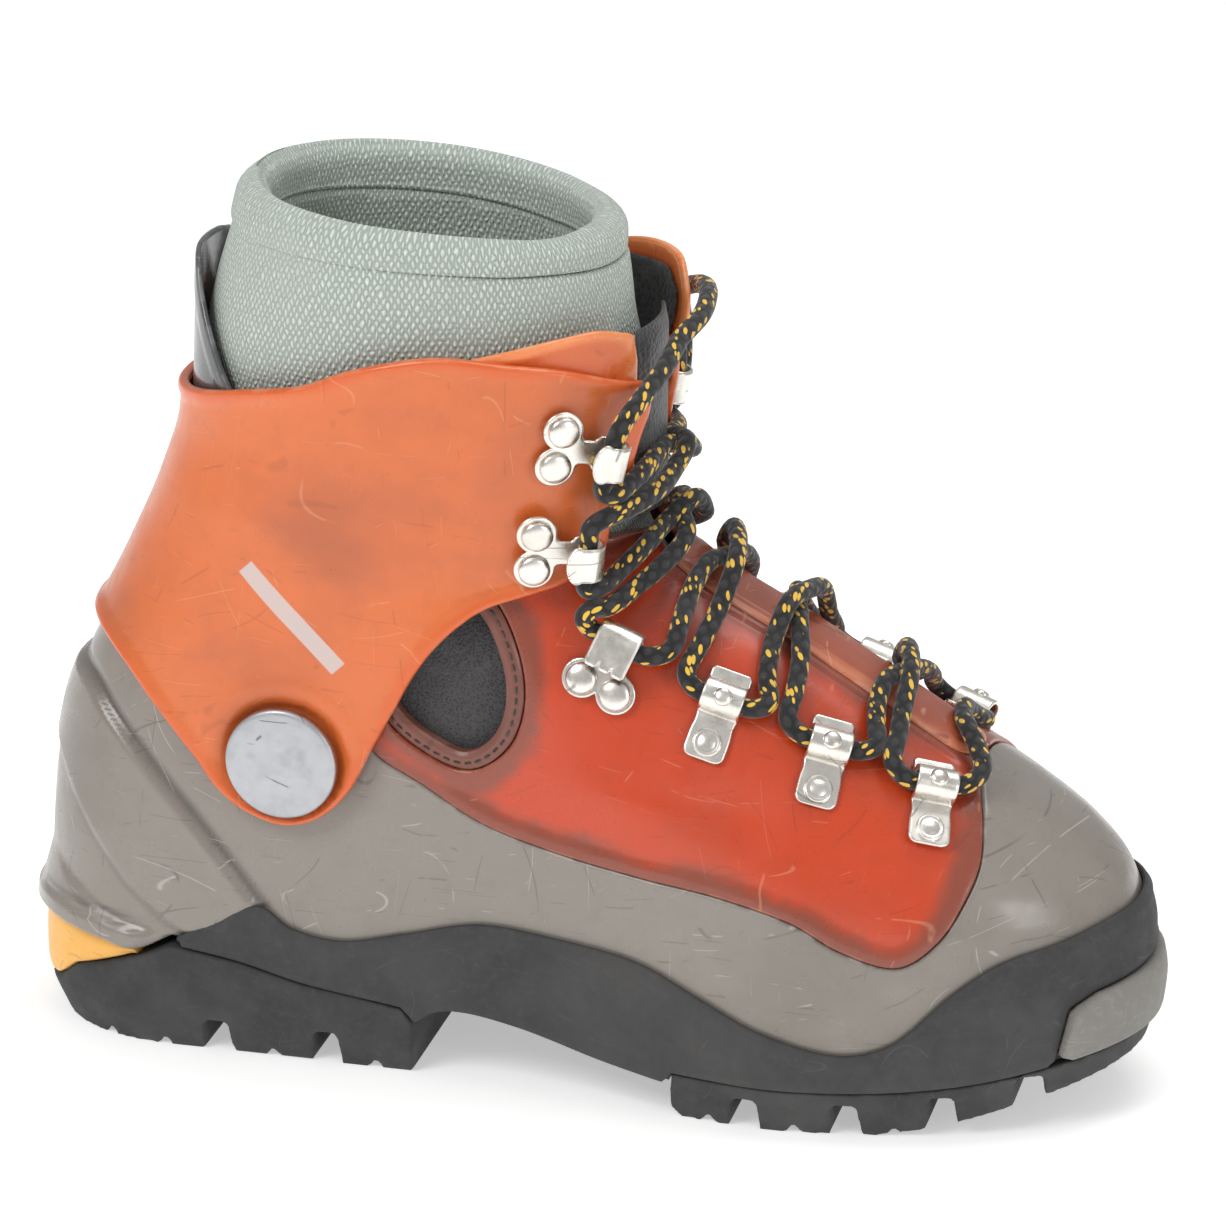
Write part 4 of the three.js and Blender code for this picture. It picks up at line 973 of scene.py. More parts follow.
# ---- inner boot ----
liner_outside = smooth([(158, -5.9), (174, -3.5), (182, -3.3), (205, -2.1), (222, -2.8), (238, -4.4)])
liner_inside = smooth([(158, -13.9), (174, -11.5), (205, -10.1), (222, -11), (238, -13.5)])
floor_line = [(-12, 39), (51, 39), (80, 35), (118, 32), (160, 28), (200, 25), (260, 24), (300, 28),
              (345, 38.5)]
rim_line = [(-12, 237), (60, 237), (120, 232.6), (150, 230), (230, 227.6)]
COLLAR_TOP = [(-12, 249.5), (60, 250), (110, 246.5), (150, 243), (180, 240.5), (230, 240)]
ROLL = 6.0  # radius of the padded roll's rounding at the top


def draw_in(x, z):
    """The liner closes in towards the shin above the flaps, and a little at the back."""
    return 4.6 * ramp(x, 105, 172) * ramp(z, 186, 216) + 4.2 * (1 - ramp(x, 50, 110)) * ramp(z, 204, 247)


liner = shell_piece("inner_boot", side_view(distance_to(joined(floor_line, rim_line[::-1]))),
                    lambda x, y, z, d: liner_outside(z) - draw_in(x, z),
                    lambda x, y, z, d: liner_inside(z) - draw_in(x, z), 1.4, KNIT, 20, 241, 2.4)
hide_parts("liner_foot", "liner_ankle", "liner_shaft")
place((PIVOT_X, 0, 128))
place((PIVOT_X, 0, 172))
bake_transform(liner)

collar_at = distance_to(joined(rim_line, through(COLLAR_TOP)[::-1]))
collar_out = smooth([(226, -4.0), (236, -3.2), (250, -4.6)])


def dip(y, z):
    """The rim is lower over the outer ankle bone; only the top of the roll moves."""
    return 3.4 * ramp(-y, 8, 40) * ramp(z, 230, 238)


def roll(x, y, z):
    """How much of the collar's thickness is rounded off on each side near its top."""
    below = height_on(COLLAR_TOP, x) - z - dip(y, z)
    return ROLL - np.sqrt(ROLL**2 - np.clip(ROLL - below, 0, 5.2) ** 2)


collar = shell_piece("collar_roll", lambda x, y, z: collar_at(x, z + dip(y, z)) - 0.1,
                     lambda x, y, z, d: collar_out(z) - draw_in(x, z) - roll(x, y, z),
                     lambda x, y, z, d: -13.6 - draw_in(x, z) + roll(x, y, z), 1.5, KNIT, 220, 254, 1.2)
finished(collar, "cuff", "liner_knit", "liner_collar")

tongue = shell_piece("inner_tongue", across_region(140, 250, 24, 0, 176, 219),
                     lambda x, y, z, d: liner_inside(z) - 0.6, lambda x, y, z, d: liner_inside(z) - 5.8, 2.2,
                     KNIT, 172, 224, 1.5, start=0.02)
finished(tongue, "cuff", "liner_knit", "liner_tongue")


# ---- flat-bottomed pieces: a block swept from the heel to the toe ----
def slab(name, low_line, high_line, x0, x1, grow, material, rows=5, columns=9, step=2.0):
    """A closed block between two side-view lines, as wide as the surface moved out by grow."""
    rings = []
    for x in np.arange(x0, x1 + step / 2, step):
        zs = np.linspace(height_on(low_line, x), height_on(high_line, x), rows)
        outer, inner = (half_width(np.full(rows, x), zs, inside) + grow for inside in (False, True))
        over = np.linspace(-outer[-1], inner[-1], columns)[1:-1]
        under = np.linspace(inner[0], -outer[0], columns)[1:-1]
        ring = [(x, -w, z) for w, z in zip(outer, zs)] + [(x, t, zs[-1]) for t in over]
        ring += [(x, w, z) for w, z in zip(inner[::-1], zs[::-1])] + [(x, t, zs[0]) for t in under]
        rings.append(ring)
    size = len(rings[0])
    faces = ring_faces(len(rings), size) + ring_caps(len(rings), size)
    return make(name, np.array(rings).reshape(-1, 3), faces, material)


footbed = slab("footbed_looks", raised(floor_line, 6.1), raised(floor_line, 10.0), 22, 302, -14.2, FELT)
finished(footbed, "lower", "footbed_felt", "footbed")

# ---- sole ----
rand_low = joined(through(GROOVE_LINE), through(ARCH_LINE), through(FORE_LINE))
rand_at = distance_to(joined(rand_low, through(RAND_TOP, 6)[::-1]))
welt_at = distance_to([(299, 21.8), (322, 26), (345, 29), (345, 43), (318, 42), (308, 40), (302, 36.5)])
rand = shell_piece("midsole_rand_looks", lambda x, y, z: np.minimum(rand_at(x, z), -welt_at(x, z) - GAP),
                   lambda x, y, z, d: 2.0 + 0.5 * bump_at(d, 2.6, 0.9), 0.3, 0.9, RAND, 6, 68, 1.5)
finished(rand, "lower", "rand_rubber", "midsole_rand")
midsole_low = raised(GROOVE_LINE + ARCH_LINE + FORE_LINE, 0.4)
midsole = slab("midsole_core", midsole_low, raised(BASE_LINE, -0.3), 52, 316, -0.6, RAND)
finished(midsole, "lower", "rand_rubber")
welt_out = smooth([(20, 4.5), (34, 5.5), (43, 4)])
welt = shell_piece("toe_welt_looks", side_view(welt_at), lambda x, y, z, d: welt_out(z), 0.4, 1.3,
                   WELT, 16, 48, 1.2)
finished(welt, "lower", "rand_rubber", "toe_welt")
wedge_at = distance_to(joined(raised(TREAD_LINE[:-1], GAP), raised(LEDGE_BOTTOM, -GAP)[::-1]))
wedge = shell_piece("heel_wedge_looks", side_view(wedge_at), lambda x, y, z, d: 0.9 + 0.5 * ramp(d, 0.6, 3),
                    -30, 0.8, YELLOW, 4, 38, 1.4)
finished(wedge, "lower", "yellow_wedge", "heel_wedge")


def outer_block(offset, low, high, around=150, tall=26):
    """The closed solid inside the surface moved out by offset(z)."""
    turns = np.arange(around) * TAU / around
    layers = []
    for z in np.linspace(low, high, tall):
        layer = shell_lift(turns, np.full(around, z), np.full(around, float(offset(z))))
        layer[:, 2] = z
        layers.append(layer)
    return np.vstack(layers), ring_faces(tall, around) + ring_caps(tall, around)


def prism(outline, y0=-90, y1=90):
    """A side-view outline pulled across the boot from y0 to y1."""
    p = np.asarray(outline, float)
    area = np.sum(p[:, 0] * np.roll(p[:, 1], -1) - np.roll(p[:, 0], -1) * p[:, 1])
    if area < 0:
        p = p[::-1]
    n = len(p)
    points = np.vstack([np.stack([p[:, 0], np.full(n, y), p[:, 1]], 1) for y in (y0, y1)])
    faces = [tuple(range(n)), tuple(range(n, 2 * n))[::-1]]
    faces += [((i + 1) % n, i, i + n, (i + 1) % n + n) for i in range(n)]
    return points, faces


def cut(base, tool, operation):
    modifier = base.modifiers.new("cut", "BOOLEAN")
    modifier.operation = operation
    modifier.solver = "EXACT"
    modifier.object = tool
    apply_all(base)
    bpy.data.objects.remove(tool)


def apply_all(piece):
    """The piece's modifiers, made part of its mesh."""
    bpy.context.view_layer.update()
    final = bpy.data.meshes.new_from_object(piece.evaluated_get(bpy.context.evaluated_depsgraph_get()))
    piece.modifiers.clear()
    piece.data = final


tread_offset = smooth([(0, -3), (12, 1), (24, 2.5)])


def tread(name, outline, gaps, notches, node, voxel=0.9):
    """Lugs cut into a rubber block: gaps are (x, height, how near the middle), notches are small."""
    block = make(name, *outer_block(tread_offset, -6, 36), TREAD)
    cut(block, make("tool", *prism(outline), TREAD), "INTERSECT")
    tools = []
    for x, deep, reach in gaps:
        gap = [(x - 4.6, -6), (x - 3.4, deep), (x + 3.4, deep), (x + 4.6, -6)]
        tools += [prism(gap, -90, -reach), prism(gap, reach, 90)]
    for x in notches:
        tools.append(prism([(x - 2.6, -2), (x - 0.6, 2.4), (x + 0.6, 2.4), (x + 2.6, -2)]))
    cut(block, make("tool", *gathered(tools), TREAD), "DIFFERENCE")
    remesh = block.modifiers.new("remesh", "REMESH")
    remesh.mode = "VOXEL"
    remesh.voxel_size = voxel / 1000
    soften = block.modifiers.new("soften", "SMOOTH")
    soften.factor = 0.5
    soften.iterations = 2
    apply_all(block)
    block.data.polygons.foreach_set("use_smooth", [True] * len(block.data.polygons))
    finished(block, "lower", "sole_rubber", node)


heel_outline = joined(through(raised(TREAD_LINE, -GAP)), raised(GROOVE_LINE[1:], -GAP),
                      [(121, 16), (120, 0), (10, 0), (1, 6), (-12, 6)])
tread("heel_tread_looks", heel_outline, [(63, 10, 14), (95, 10, 14)], [30, 47, 79, 109], "heel_tread")
toe_spring = [(254, 0), (266, 2), (279, 5.5), (292, 9.5), (306, 13.5), (322, 18.5), (340, 24)]
fore_outline = joined([(199, 0), (196, 3), (197, 14.2)], through(raised(FORE_LINE[1:6], -GAP)), [(340, 27)],
                      through(toe_spring)[::-1])
fore_gaps = [(217.5, 9.5, 16), (245, 10, 16), (270.5, 13, 16), (293, 18, 16)]
tread("forefoot_tread_looks", fore_outline, fore_gaps, [207, 231, 258], "forefoot_tread")


# ---- hardware, built flat: u forwards, v up, n out from the surface ----
def seat(x, z, side, height, tilt_degrees=0.0):
    """Puts local (u, v, n) points on the boot's surface at (x, z) of one side."""
    turn = turn_at(x, z, side)
    at = np.array([turn])
    n = normal(at, np.array([z]))[0]
    up = np.array([0, 0, 1.0]) - n * n[2]
    up /= np.linalg.norm(up)
    forward = np.cross(up, n) * -side
    t = math.radians(tilt_degrees)
    u = forward * math.cos(t) + up * math.sin(t)
    v = up * math.cos(t) - forward * math.sin(t)
    origin = surface(at, np.array([z]))[0] + n * height
    return lambda p: origin + np.asarray(p, float) @ np.array([u, v, n])


def bent(path):
    """A flat strip bent along a side profile: lift(s, w, h) in the profile's plane, w across it."""
    p = np.asarray(path, float)
    d = np.linalg.norm(np.diff(p, axis=0), axis=1)
    s = np.concatenate([[0], np.cumsum(d)])
    tangent = np.gradient(p, s, axis=0)
    tangent /= np.linalg.norm(tangent, axis=1)[:, None]
    side = np.stack([-tangent[:, 1], tangent[:, 0]], 1)

    def lift(at, w, h):
        at, w, h = np.broadcast_arrays(np.asarray(at, float), w, h)
        q = np.clip(at, s[0], s[-1])
        over = at - q
        tx, tn = np.interp(q, s, tangent[:, 0]), np.interp(q, s, tangent[:, 1])
        nx, nn = np.interp(q, s, side[:, 0]), np.interp(q, s, side[:, 1])
        return np.stack([np.interp(q, s, p[:, 0]) + tx * over + nx * h, w,
                         np.interp(q, s, p[:, 1]) + tn * over + nn * h], -1)

    return lift, s[-1]


def disc_at(a, b, ca, cb, r):
    return r - np.hypot(a - ca, b - cb)


def blended(a, b, soft):
    """A soft union of two signed distances."""
    share = np.clip(0.5 + 0.5 * (a - b) / soft, 0, 1)
    return b + (a - b) * share + soft * share * (1 - share)


PLATE = 1.2
PLATE_MID = GAP + PLATE / 2
PLATE_TOP = GAP + PLATE
BEND = LACE_RADIUS + 0.65 + PLATE / 2  # radius of a bend round the lace
REACH = 13.5  # where a hook's bend starts
LOBE, LOBE_AT, SPREAD = 5.5, 7, 5.1  # a hook's two rivet lobes
RIVET = 4.3


def plate(name, a, b, region, lift, where, body, node):
    """A bent nickel plate, cut to where region(a, b) is over 0."""
    points, faces, _, values = sheet_solid(a, b, region, lift, lambda p, q, d: 0 * p + PLATE / 2,
                                           lambda p, q, d: 0 * p - PLATE / 2, 0.5, arc=3)
    finished(make(name, where(points), faces, NICKEL, values), body, "hook_nickel", node)


def hook_path(leaf_end):
    """A hook's side: flat, then bent over the lace, then back to leaf_end."""
    turn = np.linspace(-math.pi / 2, math.pi / 2, 19)
    bend = [(REACH + BEND * math.cos(t), PLATE_MID + BEND + BEND * math.sin(t)) for t in turn]
    flat = [(x, PLATE_MID) for x in np.linspace(-7, REACH, 15)[:-1]]
    leaf = [(x, PLATE_MID + 2 * BEND) for x in np.linspace(REACH, leaf_end, 6)[1:]]
    return flat + bend + leaf


def hook(name, where, neck, leaf_half, leaf_end, square, body, node):
    """A two-rivet lace hook: lobed plate, narrow neck, a round bend over the lace and a leaf on top."""
    lift, length = bent(hook_path(leaf_end))
    end = length - 0.2

    def region(a, b):
        lobes = np.maximum(*(disc_at(a, b, LOBE_AT, at, LOBE) for at in (SPREAD, -SPREAD)))
        stem = np.minimum(np.minimum(a - 6, 24 - a), neck - np.abs(b))
        if square:
            top = np.minimum(np.minimum(a - 17.5, end - a), leaf_half - np.abs(b))
            slit = np.abs(np.abs(b) - 1.9) - 0.45
            top = np.where((a > end - 2.4) & (slit < 0), np.minimum(top, slit), top)
        else:
            centre = end - leaf_half / 1.8 - 0.6
            leaf = leaf_half - np.hypot((a - centre) * 1.8, b)
            top = np.maximum(leaf, np.minimum(np.minimum(a - 17, centre - a), leaf_half - 0.6 - np.abs(b)))
        return blended(blended(lobes, stem, 2.2), top, 1.6)

    a, b = np.arange(-1.4, length + 1.6, 0.55), np.arange(-12.375, 12.4, 0.55)
    plate(name, a, b, region, lift, where, body, node)


def lathed(name, profile, centre, where, material, body, slot, nodes=(), around=28):
    """A turned piece: profile is (radius, n) from its low middle to its high middle."""
    turns = np.arange(around) * TAU / around
    rings = profile[1:-1]
    points = [(*centre, profile[0][1])]
    points += [(centre[0] + r * math.cos(t), centre[1] + r * math.sin(t), n) for r, n in rings for t in turns]
    points += [(*centre, profile[-1][1])]
    faces = ring_faces(len(rings), around, 1)
    top = 1 + (len(rings) - 1) * around
    for i in range(around):
        j = (i + 1) % around
        faces += [(0, 1 + j, 1 + i), (top + i, top + j, len(points) - 1)]
    finished(make(name, where(points), faces, material), body, slot, *nodes)


def rivet(name, where, v, body, node):
    """A low domed head on a short shank."""
    profile = [(0, -2), (1.5, -2), (1.5, 0.35), (RIVET - 0.5, 0.35), (RIVET - 0.05, 0.55), (RIVET, 0.85)]
    profile += [((RIVET - 0.1) * math.cos(t), 0.95 + 1.35 * math.sin(t)) for t in np.linspace(0.12, 1.45, 8)]
    lathed(name, raised(profile + [(0, 2.32)], PLATE_TOP), (0, v), where, NICKEL, body, "hook_nickel", [node])


CLIP_ARCH, ARCH_HEIGHT, CLIP_HALF = 4.5, 3.6, 13
CLIP_WIDE, CLIP_CORNER, CLIP_WAIST = 5.75, 2.35, 11.5  # half width, corner radius, narrowest place
STUD_AT = -8


def clip_path():
    """A clip's side: flat, an arch over the lace, and a short flat top."""
    turn = np.linspace(math.pi, 0, 15)
    arch = [(CLIP_ARCH + BEND * math.cos(t), ARCH_HEIGHT + BEND * math.sin(t)) for t in turn]
    low = [(v, PLATE_MID) for v in np.linspace(-CLIP_HALF - 1, CLIP_ARCH - BEND - 0.9, 14)]
    low += [(CLIP_ARCH - BEND - 0.28, PLATE_MID + 0.32), (CLIP_ARCH - BEND, PLATE_MID + 1.1)]
    high = [(CLIP_ARCH + BEND, PLATE_MID + 1.1), (CLIP_ARCH + BEND + 0.28, PLATE_MID + 0.32)]
    high += [(v, PLATE_MID) for v in np.linspace(CLIP_ARCH + BEND + 0.9, CLIP_HALF + 1, 6)]
    return low + arch + high


def lace_clip(name, where, node):
    """A riveted strap whose upper half arches over the lace, a little waisted where it starts to rise."""
    lift, length = bent(clip_path())

    def region(a, b):
        half = CLIP_WIDE - 0.35 * bump_at(a, CLIP_WAIST, 2.2)
        flat = np.minimum(np.minimum(a, length - a) - 1.2, half - np.abs(b))
        corner_a, corner_b = np.maximum(3.6 - a, 0), np.maximum(np.abs(b) - 3.4, 0)
        corner = np.where((corner_a > 0) & (corner_b > 0), CLIP_CORNER - np.hypot(corner_a, corner_b), flat)
        return np.minimum(flat, corner)

    a, b = np.arange(-0.2, length + 0.4, 0.5), np.arange(-6.75, 6.8, 0.5)
    plate(name, a, b, region, lambda a, b, h: lift(a, b, h)[..., [1, 0, 2]], where, "lower", node)
    stud = [(0, -0.4), (3.9, -0.4), (3.9, 0.5), (3.75, 0.85), (3.2, 1.0), (2.9, 0.8), (2.2, 1.05),
            (1.2, 1.35), (0, 1.42)]
    lathed(name + "_stud", raised(stud, PLATE_TOP), (0, STUD_AT), where, NICKEL, "lower", "hook_nickel")
    dome = [(0, -0.8), (2.5, -0.8), (2.55, 0.15), (2.2, 0.65), (1.4, 1.0), (0, 1.1)]
    crown = ARCH_HEIGHT + BEND + PLATE / 2
    lathed(name + "_dome", raised(dome, crown), (0, CLIP_ARCH - 0.4), where, NICKEL, "lower", "hook_nickel")


CUFF_HEIGHT = CUFF_CLEARANCE + CUFF_WALL
for side_name, side in SIDES:
    for level, x, z, tilt, rise in (("high", 159.5, 187, -12, 0.2), ("low", 153.5, 158.5, -4, 2)):
        where = seat(x, z, side, CUFF_HEIGHT + rise, tilt)
        tag = level + "_" + side_name
        hook("cuff_hook_looks_" + tag, where, 3.4, 5.6, 6.6, False, "cuff", "cuff_hook_" + tag)
        for end, v in (("lower", -SPREAD), ("upper", SPREAD)):
            tag = f"{level}_{end}_{side_name}"
            rivet("cuff_rivet_looks_" + tag, where, v, "cuff", "cuff_rivet_" + tag)
    where = seat(173.5, 119.5, side, 1, 66)
    hook("lock_hook_looks_" + side_name, where, 4.6, 6.0, 4.5, True, "lower", "lock_hook_" + side_name)
    for end, v in (("rear", SPREAD), ("front", -SPREAD)):
        tag = end + "_" + side_name
        rivet("lock_rivet_looks_" + tag, where, v, "lower", "lock_rivet_" + tag)
    for level, x, z in (("top", 205.5, 113), ("middle", 234.5, 101.5), ("toe", 263, 91)):
        tag = level + "_" + side_name
        lace_clip("lace_clip_looks_" + tag, seat(x, z, side, 0.2, -20), "lace_clip_" + tag)

# ---- pivots ----
pivot_wall = float(half_width(PIVOT_X, PIVOT_Z, False)) + 0.172
cap_low = pivot_wall + CUFF_HEIGHT - 0.2 + GAP
for side_name, side in SIDES:
    def across(p, side=side):
        p = np.asarray(p, float)
        return np.stack([PIVOT_X + p[:, 0], side * p[:, 2], PIVOT_Z + p[:, 1]], 1)

    profile = [(0, 0), (15.4, 0), (15.8, 0.3), (15.8, 1.7), (15.6, 2.25), (15.1, 2.55), (14.2, 2.7),
               (9, 2.85), (0, 2.9)]
    lathed("pivot_cap_looks_" + side_name, raised(profile, cap_low), (0, 0), across, SILVER, "lower",
           "pivot_silver", ["pivot_cap_" + side_name], 96)
    for node, paint in (("pivot_pin_" + side_name, NICKEL), ("pivot_bush_" + side_name, BRASS)):
        for material_slot in frame["nodes"][node].material_slots:
            material_slot.material = paint


# ---- lace ----
def tube(path, radius, sides=14, ends=3):
    """A round cord along dense points, with rounded ends: points, faces and a UV for each face corner."""
    p = np.asarray(path, float)
    d = np.gradient(p, axis=0)
    d /= np.linalg.norm(d, axis=1)[:, None]
    along = np.concatenate([[0], np.cumsum(np.linalg.norm(np.diff(p, axis=0), axis=1))])
    side = np.cross(d[0], [0.3, 0.1, 0.9])
    rows = []
    for k in range(len(p)):
        side = side - d[k] * np.dot(side, d[k])
        side /= np.linalg.norm(side)
        rows.append((p[k], side.copy(), np.cross(d[k], side), along[k], radius))
    for k in range(1, ends + 1):
        t = k / (ends + 0.35) * math.pi / 2
        r, push = radius * math.cos(t), radius * 0.8 * math.sin(t)
        rows.insert(0, (p[0] - d[0] * push, *rows[0][1:3], along[0] - push, r))
        rows.append((p[-1] + d[-1] * push, *rows[-1][1:3], along[-1] + push, r))
    turns = np.arange(sides)[:, None] * TAU / sides
    points = np.vstack([c + r * (np.cos(turns) * a + np.sin(turns) * b) for c, a, b, _, r in rows])
    corners = []
    for u0, u1 in zip([r[3] / 1000 for r in rows], [r[3] / 1000 for r in rows[1:]]):
        for i in range(sides):
            v0, v1 = i / sides, (i + 1) / sides
            corners += [(u0, v0), (u0, v1), (u1, v1), (u1, v0)]
    corners += [(0, 0)] * 2 * sides
    return points, ring_faces(len(rows), sides) + ring_caps(len(rows), sides), corners


def lace_piece(name, runs, radius=LACE_RADIUS - 0.15, material=LACE):
    """One mesh of one or more cords."""
    cords = [tube(run, radius) for run in runs]
    points, faces = gathered([cord[:2] for cord in cords])
    mesh = bpy.data.meshes.new(name)
    mesh.from_pydata(place(points).tolist(), [], faces)
    laid_out(mesh, [corner for cord in cords for corner in cord[2]])
    bm = bmesh.new()
    bm.from_mesh(mesh)
    bmesh.ops.recalc_face_normals(bm, faces=bm.faces)
    bm.to_mesh(mesh)
    bm.free()
    return linked(name, mesh, material)


TOE_BAR = [(267.5, 0, 107.4), (270, -6, 106.6), (273.6, -12, 103.2), (275.4, -18.5, 98.6), (272, -24, 95.6)]
TOE_BAR_FAR = [(265.4, 7, 105.8), (265.6, 13, 102.8), (267.4, 19, 98.8), (268.4, 24.5, 96)]
LOWER_RUN = [
    (264, -28.6, 96.7), (256.6, -31, 98.5), (252.6, -30, 102.5), (252.8, -24, 107.5), (253, -17, 112.6),
    (251.8, -9, 116.9, 4.4), (249.8, 0, 118.8, 5.4), (247.6, 9, 119.4, 4.4),
    (246.2, 17, 115.4), (246.6, 24.5, 110),
    (247.8, 30.5, 106), (243.6, 33, 105.1), (236, 34.7, 107.2), (228.5, 35.6, 109.3), (224.4, 34, 113),
    (224.8, 27.5, 118.6), (225, 19.5, 125.6), (223.6, 10, 133.9, 4.4),
    (221.2, 0, 135.8, 5.4), (218.8, -10, 136.5, 4.4),
    (217.2, -19, 129), (217.4, -27, 121.8), (219, -33, 117), (214.9, -35.6, 116.2), (207.3, -35.8, 118.6),
    (199.6, -36.2, 120.9), (197, -35.2, 124.6), (199.5, -29, 131),
    (202.5, -20, 138.5), (203.6, -10, 146.2, 4.4),
    (201.5, 0, 148.4, 5.4), (198.6, 10, 149.6, 4.4), (195.5, 19.5, 144.5),
    (194, 28.5, 137.5), (192.4, 35.8, 130.6),
    (186.4, 38.6, 129.7), (179.2, 38.4, 132.9), (174.5, 38.3, 134.8)]
UPPER_RUN = [
    (174.2, 38.3, 134.95), (171.2, 38.6, 136.4), (169.8, 39.6, 139.4), (171.8, 40, 142), (176.5, 38, 142.8),
    (181.8, 30, 146), (188, 21, 150.8), (193, 11, 156.8), (188.5, 0, 160.8, 5.2), (187, -11, 159.4),
    (183.3, -21, 156), (178.5, -31, 151.6), (174.2, -37.4, 148), (170.6, -39.2, 147.4), (169.8, -38.9, 151.4),
    (170.7, -39, 156), (171.2, -39.7, 161.5), (172, -40.2, 165.2), (175.4, -38.4, 167.6), (180.4, -31, 168.6),
    (186.3, -19, 170.7), (189.6, -9.5, 173.6), (185.8, 0, 177.4, 5.4), (184.8, 10, 177.2), (182.2, 19, 175.8),
    (179.4, 28, 174), (177, 34.6, 172.9), (174.4, 37, 174.4), (174.8, 36.4, 178.6), (176.3, 36, 183),
    (177.5, 36, 188.6), (177.2, 37, 193.5), (174.8, 39.4, 198.5), (170.6, 42.5, 202.5)]
OVER_FRONT = [
    (177.5, -36, 188.6), (179.4, -34.4, 193), (183, -27, 198.5), (186.2, -16, 203.5), (187.6, -5, 208),
    (191, 6, 212), (190.4, 17, 214.4), (187.2, 27.2, 214.2), (181.6, 36.2, 211.6), (173.6, 42.4, 207.2)]
KNOT = (168.5, 44.8, 204.5)
REAR_LOOP = [
    (166, 45, 206.5), (158, 48, 208.5), (149, 50.6, 206), (141, 52, 199), (136.5, 52.4, 188),
    (137, 52.6, 177),
    (141.5, 52.2, 173), (146, 51.4, 179), (149.5, 50.4, 190), (156, 48.6, 199), (164, 46, 204)]
FRONT_LOOP = [
    (171, 45.4, 206.5), (174.5, 49.8, 203.5), (174.8, 53.6, 195), (174.4, 54.8, 182), (172, 55, 172),
    (168.6, 55, 170), (166.8, 55, 177), (167.6, 54.4, 190), (168.6, 52, 197.4), (169.4, 48, 201.5)]
REAR_TAIL = [
    (162, 47.2, 197.4), (160, 48.8, 190.6), (158.8, 49.6, 181), (157.9, 50, 169), (157.8, 49.8, 156),
    (158.4, 49.2, 143), (159, 48.6, 130), (158.6, 48, 117), (157.6, 47.6, 104.5)]
FRONT_TAIL = [
    (168, 47.8, 194.6), (167.4, 48.8, 188.6), (166.6, 49.4, 178), (166.2, 49.6, 166), (166.8, 49.4, 153),
    (168, 48.8, 140), (168.8, 48.2, 127), (168.6, 47.8, 114), (167.6, 47.4, 101)]
inner_shift = smooth([(180, 0), (207, 0.3), (236, 1.5), (264, 1.7)])  # the narrower inner side of the foot
SETTLE = 2.3  # how far the crossings sink towards the strip


def lifted(point):
    """A crossing's point, raised by its lift square to the ridge under it."""
    x, y, z, lift = (*point, 0.0)[:4]
    lift -= SETTLE * float(ramp(abs(y), 24, 10))
    slope = float(front_x(z - 7) - front_x(z - 9))
    size = math.hypot(2, slope)
    return x + lift * 2 / size, y, z - lift * slope / size


def mirrored(run):
    """The lace's other half: the same run seen in a mirror, always underneath."""
    under = [lifted(point[:3]) for point in run]
    return [(x, float(inner_shift(x)) * abs(y) / 30 - y, z) for x, y, z in under]


def wrap(rise, tilt, reach):
    """One turn of the lace round the knot."""
    turns = np.linspace(-0.3, TAU * 0.92, 26)
    across, up = 0.62 * reach * np.sin(turns), rise + 2.4 * tilt * np.sin(turns)
    return np.stack([reach * np.cos(turns), across, up], 1) + KNOT


over_low = [lifted(p) for p in TOE_BAR + LOWER_RUN]
under_low = TOE_BAR_FAR + mirrored(LOWER_RUN)
lace_low = lace_piece("lace_over_instep", [through(over_low[::-1] + under_low, CORD_FINE)])
finished(lace_low, "lower", "lace_cord", "lace_lower")

high_runs = [[lifted(p) for p in UPPER_RUN], mirrored(UPPER_RUN)[:-4] + OVER_FRONT, REAR_LOOP, FRONT_LOOP]
lace_high = lace_piece("lace_over_ankle", [through(run, CORD_FINE) for run in high_runs]
                       + [wrap(1.8, 0.5, 3.9), wrap(-2.2, -0.4, 3.6)])
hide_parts("lace_upper")
place((172, 0, 136))
place((172, 0, 147))
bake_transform(lace_high)

for tail_name, points in (("rear", REAR_TAIL), ("front", FRONT_TAIL)):
    path = through(points, CORD_FINE)
    tail = lace_piece("tail_" + tail_name, [path], LACE_RADIUS)
    finished(tail, "cuff", "lace_cord", "lace_tail_" + tail_name)
    sleeve = lace_piece("tail_sleeve_" + tail_name, [path[-8:]], LACE_RADIUS + 0.25, LINING)
    finished(sleeve, "cuff", "lace_cord")
    tuple(place(points[0]))
    [tuple(q) for q in place(path)]

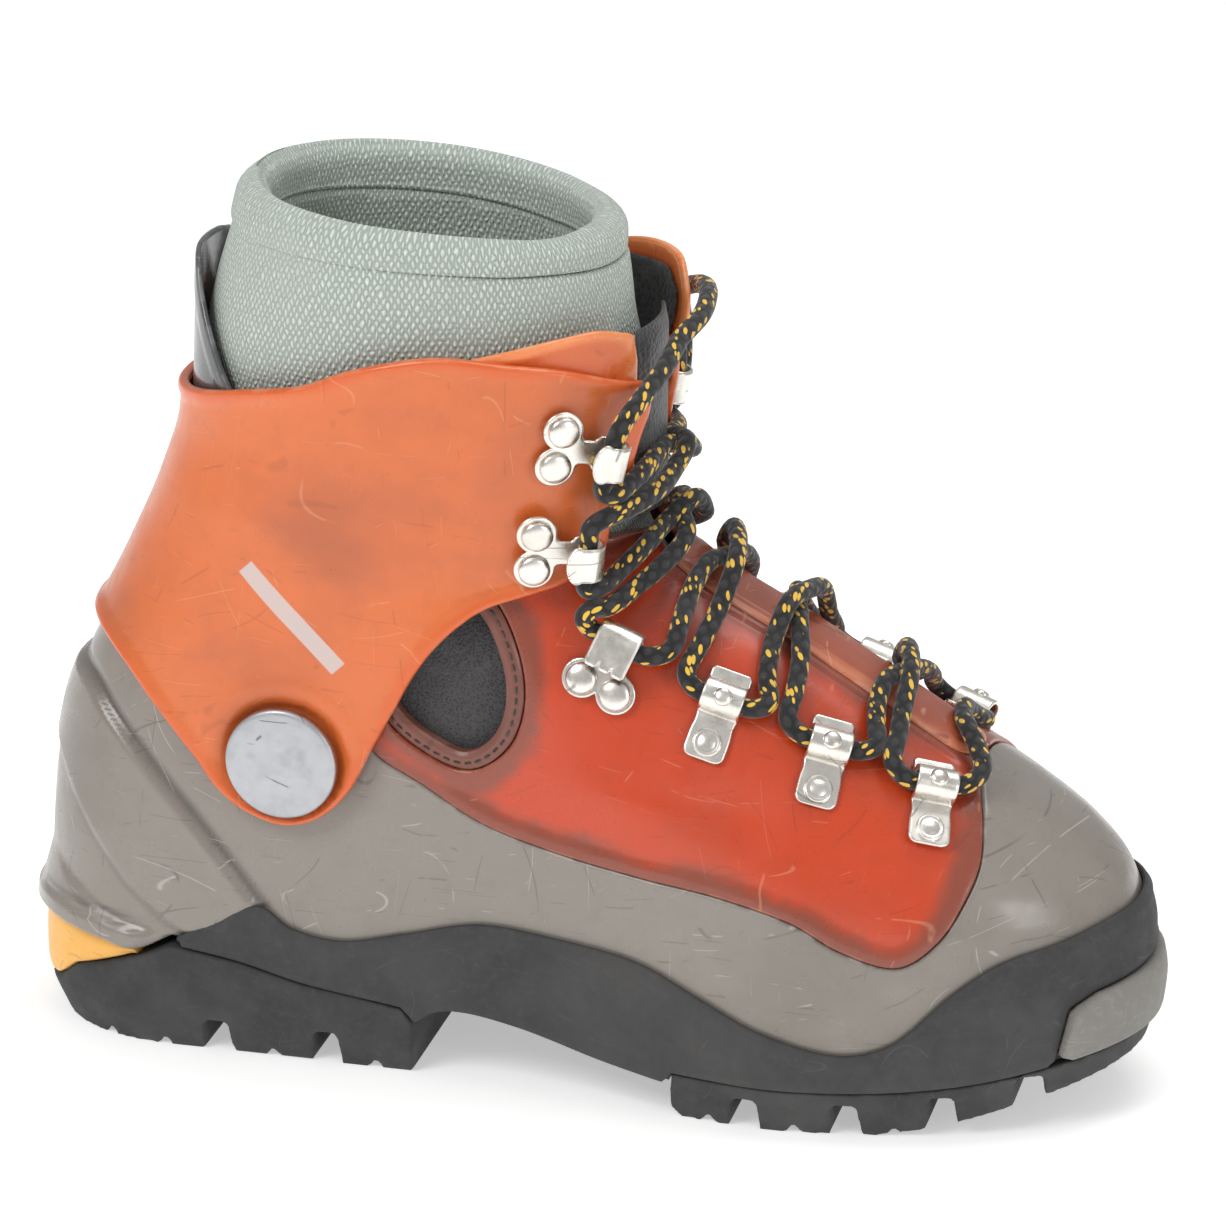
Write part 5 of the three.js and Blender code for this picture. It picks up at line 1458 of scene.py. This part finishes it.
# ---- floor, light and camera ----
floor_mesh = bpy.data.meshes.new("floor")
floor_mesh.from_pydata([(-4, -4, 0), (4, -4, 0), (4, 4, 0), (-4, 4, 0)], [], [(0, 1, 2, 3)])
floor = bpy.data.objects.new("floor", floor_mesh)
bpy.context.scene.collection.objects.link(floor)
pale = Paint("pale_floor", 0.9)
pale.colour((0.93, 0.93, 0.925, 1.0))
pale.shader.inputs["Emission Color"].default_value = (1, 1, 1, 1)
pale.shader.inputs["Emission Strength"].default_value = 0.42
bpy.context.scene.view_settings.view_transform = "Standard"
floor_mesh.materials.append(pale.material)

world = bpy.data.worlds.new("studio")
world.use_nodes = True
sky, wires = world.node_tree.nodes, world.node_tree.links
split = sky.new("ShaderNodeSeparateXYZ")
fade = sky.new("ShaderNodeMapRange")
wires.new(sky.new("ShaderNodeTexCoord").outputs["Generated"], split.inputs[0])
wires.new(split.outputs[2], fade.inputs["Value"])
for key, number in (("From Min", 0.05), ("From Max", 0.75), ("To Min", 0.4), ("To Max", 0.48)):
    fade.inputs[key].default_value = number
wires.new(fade.outputs[0], sky["Background"].inputs["Strength"])
sky["Background"].inputs["Color"].default_value = (1, 1, 1, 1)
bpy.context.scene.world = world


def area_light(name, at, aim, size, power):
    data = bpy.data.lights.new(name, "AREA")
    data.size = size
    data.energy = power
    lamp = bpy.data.objects.new(name, data)
    lamp.location = at
    lamp.rotation_euler = (Vector(aim) - Vector(at)).to_track_quat("-Z", "Y").to_euler()
    bpy.context.scene.collection.objects.link(lamp)


area_light("key", (-0.6, -1.0, 1.2), (0, 0, 0.1), 0.6, 9)
area_light("top", (0.35, 0.3, 1.5), (0, 0, 0.1), 0.8, 7)
area_light("side", (1.3, -0.9, 0.5), (0, 0, 0.12), 0.4, 3.2)

AZIMUTH, ELEVATION, DISTANCE = math.radians(14), math.radians(20), 1.434
target = Vector(place((166.05, 0, 118.87)))
level = math.cos(ELEVATION)
back = Vector((math.sin(AZIMUTH) * level, -math.cos(AZIMUTH) * level, math.sin(ELEVATION)))
camera_data = bpy.data.cameras.new("camera")
camera_data.lens = 152.85
camera_data.sensor_width = 36
camera_data.shift_x = 0.0057
camera_data.shift_y = 0.022
camera = bpy.data.objects.new("camera", camera_data)
camera.location = target + back * DISTANCE
camera.rotation_euler = (-back).to_track_quat("-Z", "Y").to_euler()
bpy.context.scene.collection.objects.link(camera)
bpy.context.scene.camera = camera

bpy.context.view_layer.update()
